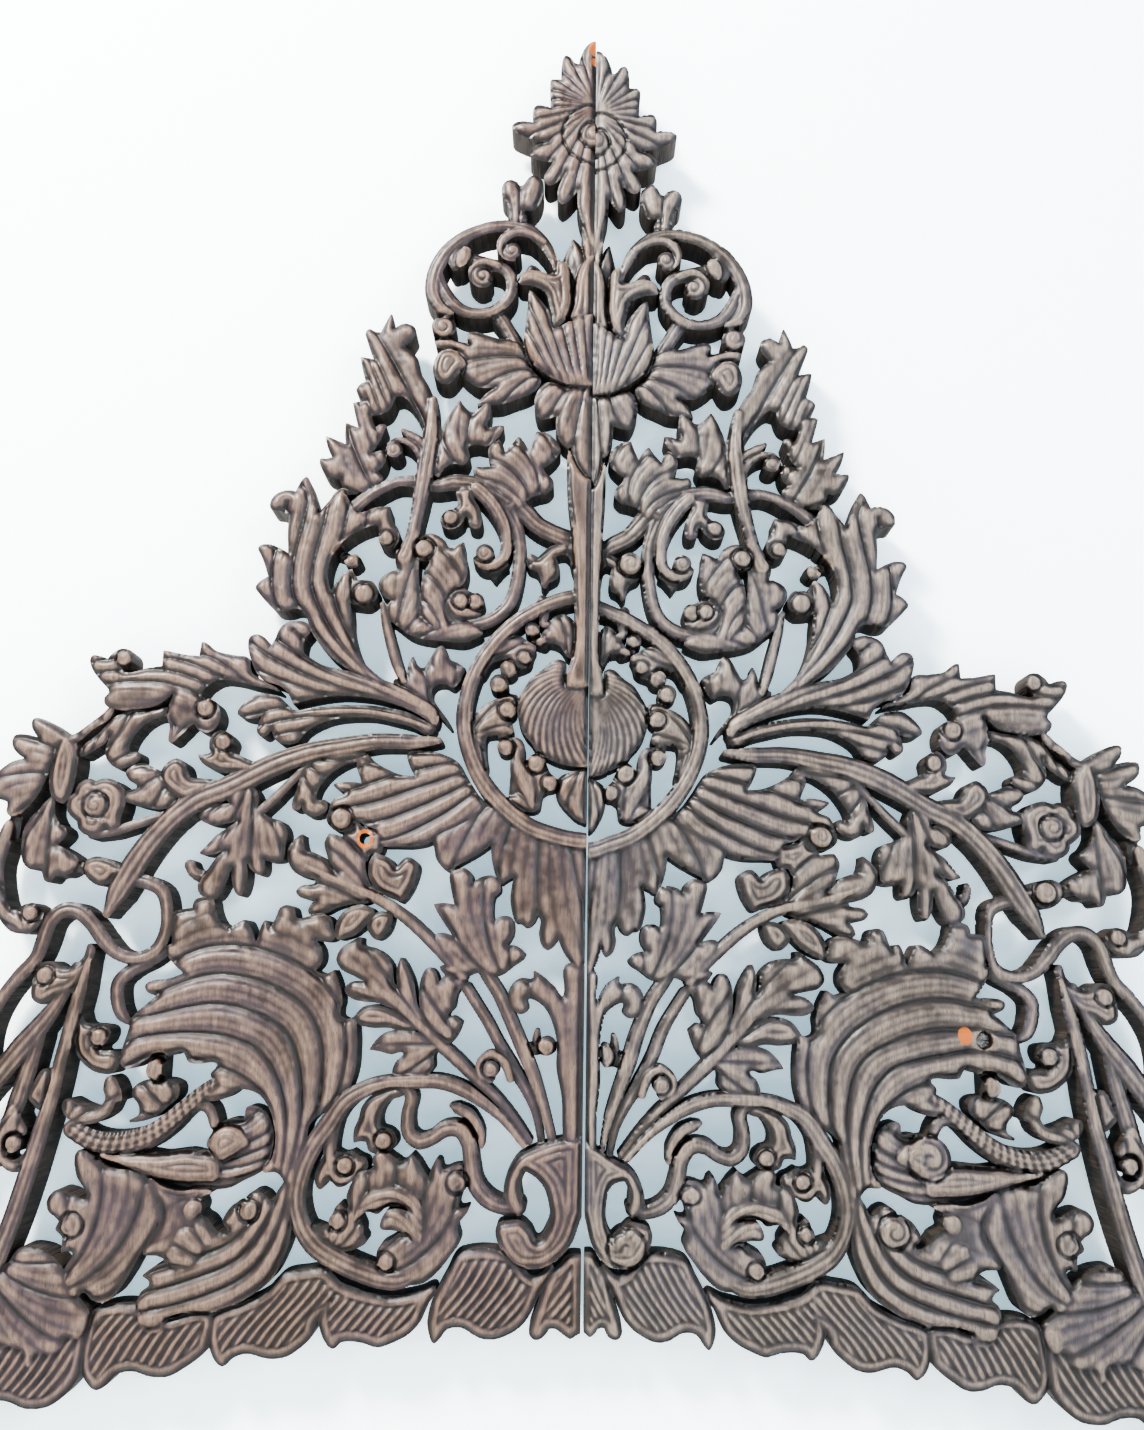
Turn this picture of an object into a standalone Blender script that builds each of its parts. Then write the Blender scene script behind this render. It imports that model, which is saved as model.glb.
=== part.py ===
"""A pierced, carved headboard panel in wood: two boards that meet at a centre seam, and one fixing screw.

Units in the tables are millimetres. Each point of a carved motif is (outward, up): outward from the seam
towards the outer end of the board, and up from the lowest point of the panel. The panel stands upright,
its back is the plane y = 0 and its carved front looks along -y. Every part is moved at the end, so that
the world's origin is a spot on the left board's flat back, behind the bowl.
"""

import math

import bmesh
import bpy
from mathutils import Vector
from mathutils.geometry import delaunay_2d_cdt
from mathutils.kdtree import KDTree

MM = 0.001
OBJECT_NAME = "carved_headboard"

BOARD_DEPTH = 24.0
RIB_DEPTH = 28.0
BOSS_DEPTH = 30.0
OVERRUN = 5.0
SINK = 2.0

LEFT = -1
RIGHT = 1
ORIGIN_LEFT_OF_SEAM = 12.0
ORIGIN_HEIGHT = 815.0
SEAM_GAP_TOP = 0.15
SEAM_GAP_LOW = 1.1
SEAM_WIDE_BELOW = 250.0
SEAM_CLOSE_ABOVE = 650.0
PANEL_HEIGHT = 1100.0
TRIM_REACH = 60.0

CURVE_STEPS = 3
TANGENT_SHARE = 0.9
TRIANGLES_INSIDE = 1
SAME_SPOT = 0.01
SMALLEST_HOLE = 80.0
CLEAR_AREA = 0.5
THINNING_AREA = 16.0
THINNING_PASSES = 16
RIB_SHARE = 0.35
RIB_DEPTH_STEP = 0.07
RIBBED_FROM = 12.0
SMALLEST_BOSS = 7.5
BOSS_SHARE = 0.65
BOSS_SIDES = 8

LEFT_HOLE = (161.5, 434.5)
RIGHT_HOLE = (281.0, 298.0)
BORE_RADIUS = 4.0
SCREW_HEAD_RADIUS = 5.0
SCREW_HEAD_HEIGHT = 3.0
SCREW_HEAD_SINK = 3.5
SCREW_SHANK_RADIUS = 2.5
SCREW_LENGTH = 19.0
SLOT_WIDTH = 1.2
SLOT_DEPTH = 1.2
PLAY = 0.3
ROUND_SIDES = 20

K = "corner"

# The closed outlines of the carved motifs: (name, points). A curve runs through the points, and K marks
# a sharp corner.
OUTLINES = [
    ("finial", [
        (0, 1096, K), (4, 1095), (9, 1090), (13, 1080), (14, 1074, K), (18, 1076), (21, 1080.5),
        (25, 1082), (27.5, 1078), (28.5, 1068), (28.5, 1060, K), (33, 1060), (36.5, 1059.5),
        (37.5, 1055), (37, 1044), (36.5, 1034, K), (43, 1035.5), (49, 1035), (51, 1030), (51, 1020, K),
        (60, 1021), (66, 1019), (68, 1015), (65, 1010.5), (56, 1006), (49, 1003), (38, 1002, K),
        (46, 1000.5), (51, 996.5), (52.5, 992), (50, 987.5), (44, 985), (34, 983.5, K), (37, 979),
        (41, 970), (38, 963.5), (33, 964), (27, 969), (24, 974, K), (28, 965), (30, 957), (29, 949),
        (25.5, 946), (20, 950), (14, 958, K), (13.5, 945), (11, 934), (7, 923), (3, 913), (0, 906, K),
    ]),
    ("trefoil", [
        (42, 968), (46, 971.5), (50, 973), (54, 970), (57, 965), (60, 963.5), (63, 967), (68, 968.5),
        (73, 966), (75, 960), (74, 953), (70, 947), (68, 940), (69, 930), (62, 926), (55, 930),
        (54, 936), (56, 941), (50, 941), (45, 946), (42, 953), (41, 961),
    ]),
    ("bud_back", [
        (0, 898, K), (6, 908), (12, 916), (17, 921, K), (21, 911), (26, 898), (30, 886), (30, 870),
        (20, 845), (0, 845, K),
    ]),
    ("bud_front", [
        (0, 904, K), (6, 900), (12, 890), (15, 875), (16, 860), (18, 845), (0, 845, K),
    ]),
    ("bud_curl", [
        (20, 893), (27, 897), (31, 892), (31, 885, K), (37, 886), (43, 888), (50, 888.5), (57, 886),
        (60, 880), (58, 875), (50, 874), (42, 871), (37, 866), (35, 858), (33, 850), (31, 838),
        (24, 842), (19, 851), (17, 860), (18, 876),
    ]),
    ("bud_rim", [
        (33, 884), (40, 889), (46, 895), (51, 896), (55, 890), (60, 884), (60, 878), (50, 880),
        (40, 880),
    ]),
    ("bowl", [
        (0, 851, K), (8, 849), (16, 845), (24, 840), (31, 838), (34, 850), (40, 859), (46, 866),
        (51, 870, K), (52, 855), (53, 840), (54, 828), (51, 815), (46, 806), (38, 799), (28, 793),
        (16, 789), (0, 788, K),
    ]),
    ("crest_drop", [
        (97, 900), (100, 905), (105, 905), (109, 900), (110, 893), (108, 888), (104, 888), (99, 893),
    ]),
    ("side_leaf", [
        (40, 795), (47, 803), (52, 815), (55, 827), (62, 830), (73, 829, K), (82, 832), (92, 835),
        (98, 834), (99, 829), (97, 824, K), (106, 827), (116, 831), (123, 829), (122, 821), (108, 819),
        (103, 812), (103, 799, K), (97, 793), (89, 788), (76, 788, K), (82, 784), (87, 778),
        (90, 772, K), (80, 773), (70, 774), (60, 778), (50, 782), (44, 786, K),
    ]),
    ("side_bud", [
        (98, 806), (104, 815), (112, 818), (120, 815), (124, 806), (124, 797), (119, 790), (112, 789),
        (107, 793), (103, 799),
    ]),
    ("low_leaf", [
        (80, 775), (88, 770), (93, 767), (98, 770), (103, 777, K), (109, 768), (114, 758), (118, 745),
        (120, 730), (121, 715), (117, 713, K), (113, 720), (106, 724), (98, 723), (94, 730), (95, 738),
        (88, 740), (80, 739), (73, 745), (69, 752), (68, 756, K), (74, 756), (81, 755), (79, 764),
    ]),
    ("upper_lotus", [
        (0, 790, K), (20, 789), (34, 793), (41, 788), (45, 778), (44, 768), (41, 762), (35, 762),
        (28, 764, K), (28, 755), (25, 744), (19, 738), (16, 739, K), (14, 728), (9, 718), (3, 711),
        (0, 708, K),
    ]),
    ("palmette", [
        (24, 737), (28, 745), (35, 751), (43, 752, K), (46, 744), (49, 737, K), (53, 744),
        (57, 748, K), (62, 741), (67, 735, K), (69, 741), (72, 745, K), (79, 739), (80, 732),
        (77, 723, K), (83, 722), (89, 722), (91, 717), (87, 710), (83, 705), (72, 700), (64, 694),
        (56, 688), (50, 692), (47, 697), (40, 700), (33, 702), (29, 707), (30, 713), (35, 718),
        (37, 722, K), (31, 726), (26, 732),
    ]),
    ("staff", [
        (0, 712, K), (6, 716), (13, 726), (18, 735), (18, 700), (14.5, 672), (13, 650), (12.5, 620),
        (11, 598), (11, 580), (14, 568), (17, 558), (16, 548), (0, 548, K),
    ]),
    ("stem_leaf", [
        (12, 662), (20, 662), (30, 660), (36, 655), (40, 651, K), (46, 653), (49, 648), (47, 642),
        (41, 639), (38, 634), (37, 628), (34, 625, K), (31, 630), (25, 634), (23, 640), (25, 648),
        (26, 651), (20, 653), (16, 650), (14, 642), (10, 635), (8, 650),
    ]),
    ("serrated", [
        (117, 745), (118, 758), (121, 772), (127, 787), (134, 799), (137, 811), (147, 821, K),
        (141, 828), (139, 834), (142, 839), (149, 840.5), (156, 837, K), (157, 844), (159, 850, K),
        (163, 842), (167, 833, K), (172, 834), (176, 836), (179, 832), (176, 823), (171, 810, K),
        (176, 811), (182, 812, K), (180, 802), (177, 791, K), (181, 789), (184, 784), (181, 778),
        (178, 774, K), (182, 774), (186, 773, K), (184, 764), (181, 753, K), (186, 755), (191, 757, K),
        (191, 748), (190, 739, K), (197, 742), (206, 746, K), (204, 737), (200, 728, K), (205, 727),
        (209, 727), (209, 722), (204, 713), (198, 710), (193, 711, K), (191, 705), (184, 702),
        (177, 700), (169, 702), (163, 706), (160, 712), (164, 717, K), (160, 722), (158, 729),
        (159, 734), (170, 732, K), (166, 737), (162, 746), (159, 755, K), (164, 756), (168, 754),
        (171, 763, K), (163, 764), (157, 768), (153, 778, K), (148, 779), (141, 773), (135, 763),
        (131, 752), (130, 743),
    ]),
    ("ring_spur", [
        (62, 645), (66, 640), (70, 635), (72, 632, K), (75, 636), (78, 641), (72, 646),
    ]),
    ("ring_hook", [
        (90, 705), (103, 702), (102, 690), (107, 687), (113, 684), (115, 678), (112, 672), (105, 671),
        (98, 676), (95, 681), (92, 673), (85, 672), (83, 679), (85, 688), (90, 697),
    ]),
    ("ring_acanthus", [
        (96, 661, K), (102, 658), (107, 656), (111, 662), (119, 666.5), (127, 666), (133, 660),
        (134, 652), (129, 646), (122, 646), (126, 636), (128, 622), (127, 606), (121, 594), (110, 587),
        (100, 590), (107, 600), (109, 612), (104, 622), (96, 627), (93, 635), (93, 645), (95, 653),
    ]),
    ("curl_core", [
        (81, 608), (84, 602), (92, 600), (100, 600), (107, 606), (109, 614), (105, 622), (97, 625),
        (90, 622), (84, 621), (81, 615),
    ]),
    ("ring_foot", [
        (131, 655), (146, 655), (148, 646), (146, 638, K), (151, 637), (157, 633), (160, 626),
        (157, 618), (150, 614, K), (153, 609), (151, 600), (144, 594), (134, 587), (122, 584),
        (108, 583), (95, 582), (86, 585), (80, 590), (88, 598), (110, 600), (124, 600), (128, 620),
        (130, 640),
    ]),
    ("plume", [
        (140, 548), (150, 551), (160, 558), (168, 566), (174, 578), (178, 592), (179, 604),
        (180, 611, K), (174, 610), (167, 610), (161, 615), (160, 622), (164, 628), (170, 629),
        (176, 629, K), (180, 638, K), (186, 635), (191, 628), (195, 621, K), (198, 633), (196, 646),
        (190, 657), (181, 665), (170, 671), (162, 672), (161, 662), (157, 656), (151, 655), (146, 660),
        (146, 669), (151, 677), (153, 688, K), (165, 687), (176, 683), (183, 690), (190, 703, K),
        (200, 692), (207, 683, K), (211, 695), (215, 706), (218, 711), (222, 708), (226, 699, K),
        (232, 700), (239, 698), (244, 693), (245, 687), (243, 684), (237, 683), (230, 680, K),
        (230, 665), (229, 650, K), (236, 654), (243, 656.5), (250, 656), (252, 653), (249, 647),
        (246, 640), (243, 631, K), (249, 627), (252, 622), (248, 617), (242, 611), (236, 605),
        (228, 604), (219, 606), (213, 601), (208, 588), (199, 576), (190, 567), (178, 559), (160, 550),
    ]),
    ("wing_leaf", [
        (112, 530), (125, 540), (140, 548), (150, 551.5), (165, 556), (185, 560), (198, 563),
        (207, 568), (213, 573), (213, 582), (209, 588), (210, 594), (217, 597), (226, 596), (232, 591),
        (235, 583), (238, 577, K), (242, 583), (248, 586), (254, 584), (255, 577), (252, 566),
        (247, 556), (240, 550), (230, 547), (223, 541), (219, 533, K), (205, 537), (185, 540),
        (165, 539), (150, 536), (135, 531), (122, 524), (113, 518),
    ]),
    ("wing_leaf_2", [
        (113, 518), (122, 523), (135, 529), (150, 532), (165, 533.5), (185, 533), (205, 531),
        (218, 529), (224, 534), (230, 539), (238, 541), (245, 541), (252, 537), (258, 531), (260, 526),
        (256, 523), (249, 522), (242, 524, K), (244, 519), (245, 513), (242, 509), (238, 509),
        (234, 514, K), (232, 508), (227, 504), (220, 503), (214, 505), (209, 512), (202, 517),
        (190, 522), (176, 524), (160, 524), (145, 521), (130, 517), (118, 511),
    ]),
    ("heart_leaf", [
        (92, 562), (98, 567), (104, 570), (107, 577), (111, 581, K), (115, 578), (120, 569),
        (124, 563), (129, 566), (132, 573, K), (135, 566), (138, 555), (146, 553), (140, 545),
        (125, 536), (112, 527), (105, 520), (99, 514, K), (104, 523), (113, 535), (117, 543),
        (115, 549), (108, 551), (101, 548), (96, 553), (94, 558),
    ]),
    ("medal_disc", [
        (0, 552, K), (16, 552), (17, 560), (17, 568, K), (22, 570), (28, 569), (34, 563), (42, 557),
        (48, 548), (52, 540), (53, 530), (51, 520), (47, 512), (42, 506), (38, 500), (30, 495),
        (20, 491), (10, 489.5), (0, 489, K),
    ]),
    ("medal_petal", [
        (0, 489, K), (12, 486), (21, 482), (24, 475), (22, 465), (15, 456), (8, 450), (0, 447, K),
    ]),
    ("medal_leaf_0", [
        (11, 598), (18, 605), (26, 604), (31, 598), (36, 590), (41, 584), (36, 581), (29, 583),
        (22, 580), (14, 571), (11, 580),
    ]),
    ("medal_leaf_1", [
        (40, 580), (46, 584), (52, 588), (60, 588), (68, 584), (76, 577), (84, 562), (80, 556),
        (73, 566), (66, 569), (61, 569), (60, 560), (52, 562), (44, 566), (42, 573),
    ]),
    ("medal_leaf_2", [
        (55, 541), (61, 542), (68, 540), (76, 536), (84, 528), (87, 515), (86, 500), (80, 486),
        (74, 486), (75, 498), (75, 510), (70, 512), (63, 512), (56, 514), (56, 520), (58, 525),
        (54, 532),
    ]),
    ("medal_leaf_3", [
        (31, 492), (34, 498), (40, 499), (46, 494), (48, 505), (54, 506), (57, 496), (57, 482),
        (54, 470), (60, 464), (48, 456), (36, 457), (33, 468), (28, 472), (24, 480), (28, 485),
    ]),
    ("vine_volute", [
        (240, 484), (255, 494), (262, 497), (261, 505), (265, 511), (272, 513), (278, 508), (279, 500),
        (278, 496), (287, 494.5, K), (283, 488), (276, 484), (268, 481),
    ]),
    ("vine_hook", [
        (160, 494), (175, 490), (188, 482), (196, 472), (198, 463), (191, 462), (190, 455), (195, 451),
        (202, 450), (207, 453), (209, 459, K), (210, 455), (215, 455), (216, 460), (213, 470),
        (211, 479), (206, 487), (195, 496), (178, 501),
    ]),
    ("vine_leaf_a", [
        (272, 474), (283, 477), (291, 478), (295, 487), (302, 491.5), (309, 488), (313, 481),
        (312, 473), (305, 466), (292, 460),
    ]),
    ("vine_leaf_b", [
        (300, 462), (305, 468), (312, 481), (320, 485), (327, 488), (334, 486), (339, 481), (336, 475),
        (330, 470), (338, 467), (340, 461), (334, 458), (322, 455), (308, 454),
    ]),
    ("cluster", [
        (240, 456), (240, 464), (244, 471), (251, 473), (259, 473), (265, 470), (266, 465),
        (262, 459, K), (269, 459), (277, 457), (283, 452), (281, 446), (272, 443), (262, 444),
        (255, 446, K), (262, 441), (270, 435), (277, 427), (282, 422, K), (275, 421), (268, 422),
        (262, 425, K), (268, 420), (274, 411), (280, 403), (280, 395), (276, 391), (271, 389),
        (266, 390), (262, 396), (259, 404), (257, 412, K), (256, 402), (253, 394), (249, 392),
        (246, 398), (245, 407), (246, 416, K), (242, 410), (236, 407), (233, 410), (233, 418, K),
        (227, 417), (220, 419), (219, 428), (218, 438), (222, 446), (231, 449),
    ]),
    ("eye_leaf", [
        (70, 455), (80, 468), (88, 480), (94, 490), (101, 495), (113, 499), (126, 500), (133, 498),
        (131, 488), (127, 481, K), (138, 482), (150, 487), (160, 493), (168, 494), (170, 487),
        (167, 479), (166, 475, K), (176, 476), (187, 474, K), (183, 470), (178, 467), (186, 463),
        (189, 455), (190, 447), (185, 441), (178, 439), (172, 441), (168, 447), (162, 444), (155, 441),
        (150, 430), (140, 429), (128, 429), (117, 431), (110, 435, K), (100, 440), (85, 445),
    ]),
    ("hole_patch", [
        (148, 442), (155, 441), (164, 444), (168, 448), (172, 441), (176, 440), (178, 436), (172, 430),
        (166, 424), (160, 418), (157, 423), (150, 424), (148, 430),
    ]),
    ("lotus", [
        (0, 432, K), (20, 436), (40, 444), (58, 454), (70, 462), (100, 445), (112, 436), (111, 428),
        (109, 420), (103, 413), (97, 412), (95, 415, K), (88, 419), (78, 425), (70, 431, K), (69, 420),
        (66, 409), (62, 403), (58, 405), (53, 408, K), (55, 395), (54, 385), (51, 376), (47, 375),
        (43, 372.5), (38, 375), (35, 381, K), (33, 377), (34, 368), (32, 360), (28, 357), (24, 359),
        (20, 364, K), (16, 355), (10, 347), (5, 340), (3, 343), (0, 350, K),
    ]),
    ("twin_leaf", [
        (122, 416), (127, 421), (132, 421), (138, 415, K), (142, 420), (149, 423), (155, 423),
        (158, 417), (158, 408), (154, 400), (148, 395), (138, 391), (133, 389), (127, 397), (123, 407),
    ]),
    ("pointed_leaf", [
        (150, 395), (156, 402), (160, 412), (161, 420), (168, 428), (174, 434), (182, 437),
        (188, 438, K), (191, 431), (189, 423), (186, 415), (182, 410, K), (190, 420), (198, 424),
        (204, 426), (207, 438, K), (213, 433), (217, 427), (217, 419), (213, 411), (205, 406),
        (196, 403), (206, 400), (210, 396, K), (207, 392), (200, 390), (196, 390, K), (199, 386),
        (200, 381), (195, 378), (188, 380), (180, 384), (170, 387), (158, 388),
    ]),
    ("pod_a", [
        (139, 379), (143, 382), (150, 382), (156, 377), (157, 370), (153, 364), (149, 362), (143, 366),
        (140, 372),
    ]),
    ("pod_b", [
        (152, 382), (157, 386), (164, 387), (172, 384), (178, 377), (180, 369), (178, 362), (171, 363),
        (164, 366), (158, 372),
    ]),
    ("bouquet_core", [
        (0, 346, K), (15, 346), (16, 325), (22, 331), (30, 338), (38, 343, K), (38, 337), (46, 337),
        (52, 333), (55, 326), (54, 318), (50, 313), (44, 312), (40, 316), (41, 322), (35, 321),
        (28, 315), (23, 305), (20, 292), (20, 275), (16, 255), (15, 232), (13, 222), (0, 222, K),
    ]),
    ("bouquet_leaf", [
        (78, 340), (70, 337), (60, 339), (52, 345), (45, 350), (43, 354, K), (49, 359), (56, 360, K),
        (52, 367), (52, 376), (55, 380), (62, 380), (66, 378), (67, 388), (66, 394, K), (62, 398),
        (63, 405), (68, 409), (76, 408), (82, 404, K), (83, 410), (88, 414), (94, 413), (99, 410),
        (98, 400), (95, 388, K), (103, 389), (110, 388, K), (107, 382), (101, 373), (96, 366, K),
        (103, 368), (108, 366), (108, 360), (104, 353), (99, 347), (104, 344), (102, 340), (97, 336),
        (88, 336),
    ]),
    ("stem3_leaf", [
        (85, 335), (92, 339), (100, 338), (104, 334, K), (107, 341), (111, 343.5), (115, 341),
        (118, 332), (118, 320), (116, 310), (110, 299), (103, 293), (97, 290), (91, 296), (87, 306, K),
        (93, 310), (97, 310), (93, 316), (91, 325),
    ]),
    ("stem3_leaf_2", [
        (114, 305), (119, 318), (122, 333), (127, 344), (132, 351, K), (135, 341), (135, 331),
        (138, 345), (145, 353), (153, 357), (160, 359), (161, 364), (168, 361), (175, 356), (178, 348),
        (174, 341), (166, 337), (158, 333, K), (165, 333), (170, 330), (171, 326), (166, 321),
        (158, 319), (147, 318), (135, 313),
    ]),
    ("stem3_leaf_3", [
        (118, 302), (128, 309), (140, 315), (150, 317), (158, 315), (164, 308, K), (160, 303),
        (150, 301), (138, 301), (126, 298),
    ]),
    ("stem3_leaf_4", [
        (102, 289), (110, 295), (120, 299), (131, 300), (141, 298), (148, 292), (152, 286, K),
        (145, 285), (136, 283), (128, 284), (133, 278), (135, 270), (130, 265), (120, 265), (112, 268),
        (106, 274), (106, 282),
    ]),
    ("vase", [
        (0, 230, K), (18, 228), (33, 223), (45, 217), (52, 207), (55, 196), (54, 186), (46, 177),
        (41, 180), (42, 190), (43, 198), (40, 206, K), (33, 202), (27, 195), (24, 186), (23, 177),
        (26, 168), (31, 162), (35, 168), (42, 174), (50, 174), (58, 172), (60, 166), (57, 157),
        (51, 149), (44, 144), (34, 143), (24, 145), (14, 152), (7, 161), (3, 172), (0, 180, K),
    ]),
    ("scroll_hook", [
        (126, 256), (135, 252), (141, 243), (141, 235), (136, 233), (131, 229), (130, 223), (134, 218),
        (142, 216), (149, 218), (152, 224), (160, 223, K), (160, 232), (157, 240), (155, 248),
        (149, 255), (140, 259), (130, 262),
    ]),
    ("scroll_volute", [
        (150, 212), (156, 215), (161, 218, K), (167, 216), (175, 219), (182, 212), (186, 200),
        (182, 192), (176, 198), (170, 194), (164, 195), (158, 200), (150, 205),
    ]),
    ("scroll_acanthus", [
        (84, 200), (84, 209), (90, 209), (97, 207), (99, 212), (102, 214, K), (105, 208),
        (107, 202, K), (110, 206), (114, 212), (119, 217, K), (123, 213), (126, 211, K), (132, 215),
        (140, 219), (146, 214), (146, 207), (155, 204), (160, 197), (163, 188), (162, 180), (168, 183),
        (172, 177), (173, 169), (180, 166), (175, 158), (165, 153), (155, 154), (151, 160), (150, 168),
        (153, 175), (150, 179), (141, 177), (136, 181), (130, 182), (122, 181), (115, 176), (113, 168),
        (118, 165), (126, 165), (131, 161), (139, 156), (141, 148), (138, 141), (130, 137), (120, 132),
        (108, 133), (98, 141), (90, 151), (84, 160), (86, 170), (80, 178), (78, 183, K), (85, 182),
        (84, 190),
    ]),
    ("scroll_tongue", [
        (108, 165), (112, 158), (121, 165), (130, 167), (138, 168), (138, 174), (134, 180), (127, 181),
        (120, 180), (130, 184), (141, 180), (150, 178), (157, 172), (150, 190), (135, 196), (120, 194),
        (110, 184),
    ]),
    ("big_plume", [
        (172, 250), (165, 258), (161, 270), (160, 285), (161, 300), (163, 308), (168, 307), (173, 310),
        (172, 320), (175, 332), (179, 341, K), (185, 338), (192, 340, K), (188, 346), (188, 354),
        (192, 361, K), (180, 362), (181, 371), (184, 378), (192, 380), (200, 378), (207, 377),
        (210, 384), (215, 386), (220, 384), (223, 376), (226, 371, K), (230, 375), (233, 370),
        (235, 362), (236, 360, K), (240, 370), (244, 375), (251, 372), (255, 369, K), (262, 374),
        (266, 382), (268, 389), (274, 391), (281, 389), (283, 383, K), (290, 382), (296, 380),
        (297, 368), (296, 358), (299, 356), (298, 349), (293, 343), (286, 337, K), (297, 333),
        (306, 332), (312, 329), (311, 324), (304, 321, K), (312, 314), (320, 306), (322, 296),
        (325, 285), (326, 275), (322, 271), (315, 272), (308, 277), (300, 281), (291, 280), (283, 283),
        (278, 276), (270, 275), (258, 275), (262, 268), (259, 260), (270, 256), (262, 250), (250, 252),
        (240, 258), (228, 255), (220, 246), (216, 236), (214, 225), (216, 212), (222, 204), (212, 203),
        (206, 196), (204, 183), (196, 190), (195, 205), (192, 222), (190, 236),
    ]),
    ("plume_heart", [
        (232, 222), (236, 229), (243, 233), (251, 233), (258, 228), (261, 221), (257, 215), (251, 210),
        (244, 213), (238, 217),
    ]),
    ("plume_bowl", [
        (222, 204), (217, 213), (216, 228), (220, 240), (228, 246), (236, 246), (238, 238), (246, 238),
        (256, 234), (260, 226), (262, 216), (275, 217), (292, 215), (305, 216), (322, 212), (338, 213),
        (325, 207), (300, 199), (280, 194), (262, 191), (245, 192), (235, 197),
    ]),
    ("beam", [
        (252, 212), (262, 215), (276, 216), (292, 214), (310, 214), (325, 213), (336, 213), (322, 207),
        (302, 200), (280, 196), (262, 196), (252, 198),
    ]),
    ("plume_drop", [
        (296, 270), (297, 276), (301, 278), (305, 275), (306, 269), (303, 264), (298, 264),
    ]),
    ("plume_shoulder", [
        (284, 252), (284, 260), (291, 264), (300, 264), (309, 263), (316, 258), (316, 252), (312, 247),
        (311, 240), (318, 235), (300, 238), (290, 246),
    ]),
    ("plume_tail", [
        (326, 262), (333, 266), (336, 258), (334, 250), (340, 244), (350, 246), (362, 250), (362, 240),
        (352, 234), (340, 234), (330, 240), (326, 248), (322, 250),
    ]),
    ("flower", [
        (337, 457), (338, 467), (345, 474), (353, 476), (360, 474, K), (365, 475.5), (372, 472),
        (375, 465, K), (379, 460), (379, 452), (375, 447), (371, 444, K), (369, 438), (363, 434),
        (355, 434), (350, 439, K), (345, 437), (340, 441), (339, 448),
    ]),
    ("pod_cup", [
        (330, 414), (338, 414), (345, 417), (355, 419), (362, 416), (364, 410), (360, 403), (352, 398),
        (345, 399), (338, 404), (334, 398),
    ]),
    ("wing_cluster", [
        (390, 462), (388, 450), (384, 443), (379, 439), (378, 434), (384, 427, K), (376, 423),
        (368, 417), (368, 411), (375, 405), (383, 404), (387, 400), (391, 401), (395, 409), (402, 409),
        (408, 414), (410, 424), (410, 436), (406, 446), (400, 452), (396, 458),
    ]),
    ("wing_stalk", [
        (377, 502), (374, 490), (375, 475), (378, 462), (383, 457), (391, 462), (394, 472), (394, 484),
        (392, 497), (386, 508),
    ]),
    ("outer_leaf", [
        (352, 530), (360, 524), (372, 514), (382, 508), (392, 514), (401, 519), (410, 520), (411, 514),
        (406, 506, K), (415, 508), (423, 507), (424, 500), (420, 494), (414, 490, K), (424, 487),
        (433, 479), (437, 469), (433, 461), (424, 458), (423, 449), (417, 447), (408, 454), (401, 464),
        (395, 480), (388, 498), (377, 502), (366, 512), (354, 521),
    ]),
    ("outer_curl", [
        (310, 530), (325, 528), (340, 527), (352, 522), (362, 510), (374, 499), (374, 492), (364, 497),
        (356, 503), (354, 510), (356, 497), (354, 490), (347, 484), (340, 484), (330, 490), (331, 496),
        (338, 497), (337, 505), (330, 515), (322, 521), (312, 524),
    ]),
    ("wing_crest", [
        (250, 556), (254, 568), (265, 570), (278, 573), (286, 579), (290, 580, K), (291, 569, K),
        (302, 570), (312, 572), (318, 573, K), (318, 561, K), (330, 559), (340, 556), (347, 557),
        (342, 560), (340, 567), (343, 573), (350, 574), (356, 570), (359, 566, K), (365, 568),
        (371, 568), (372, 563), (368, 555), (361, 547), (356, 541), (359, 536), (357, 530), (345, 527),
        (335, 528), (320, 531), (308, 540, K), (312, 525), (309, 514), (308, 503), (300, 509),
        (292, 517), (288, 513), (280, 511), (274, 516), (272, 525), (276, 534), (284, 537), (287, 540),
        (283, 546), (274, 551), (262, 550), (250, 547), (238, 545), (228, 543),
    ]),
    ("wing_volute", [
        (350, 352), (355, 357), (358, 348), (364, 342), (372, 340), (380, 344), (388, 343), (392, 337),
        (393, 328), (392, 318), (384, 314), (374, 319), (364, 322), (356, 330),
    ]),
    ("wing_volute_2", [
        (420, 445), (418, 428), (421, 410), (418, 392), (412, 380), (404, 384), (398, 385), (391, 380),
        (390, 372), (396, 365), (405, 363), (414, 366), (424, 378), (430, 395), (430, 415), (427, 435),
    ]),
    ("stem_volute", [
        (330, 268), (326, 278), (332, 283), (340, 284), (335, 292), (336, 299), (344, 301), (352, 302),
        (357, 310), (360, 295), (358, 282), (352, 274), (342, 268),
    ]),
    ("hook_leaf", [
        (374, 268), (380, 270), (385, 262), (389, 252), (386, 247), (379, 242), (374, 248), (373, 258),
    ]),
    ("wing_volute_3", [
        (377, 243), (381, 225), (387, 214), (394, 209), (401, 212), (402, 220), (398, 226), (391, 224),
        (386, 228), (390, 236), (398, 246), (404, 238), (408, 222), (404, 208), (394, 201), (384, 204),
        (376, 215),
    ]),
    ("low_plume", [
        (196, 205), (204, 200), (210, 192), (214, 185), (219, 189), (225, 191), (231, 188), (234, 182),
        (240, 182), (245, 176), (247, 170), (243, 164), (250, 165), (256, 172), (262, 176), (262, 186),
        (256, 190), (264, 192), (278, 190), (290, 193), (300, 198), (296, 190), (292, 180), (291, 168),
        (300, 150), (290, 148), (285, 145), (292, 141), (300, 135, K), (294, 130), (300, 124),
        (302, 112), (299, 103), (292, 98), (284, 100), (281, 108), (270, 112), (252, 112), (236, 117),
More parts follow.
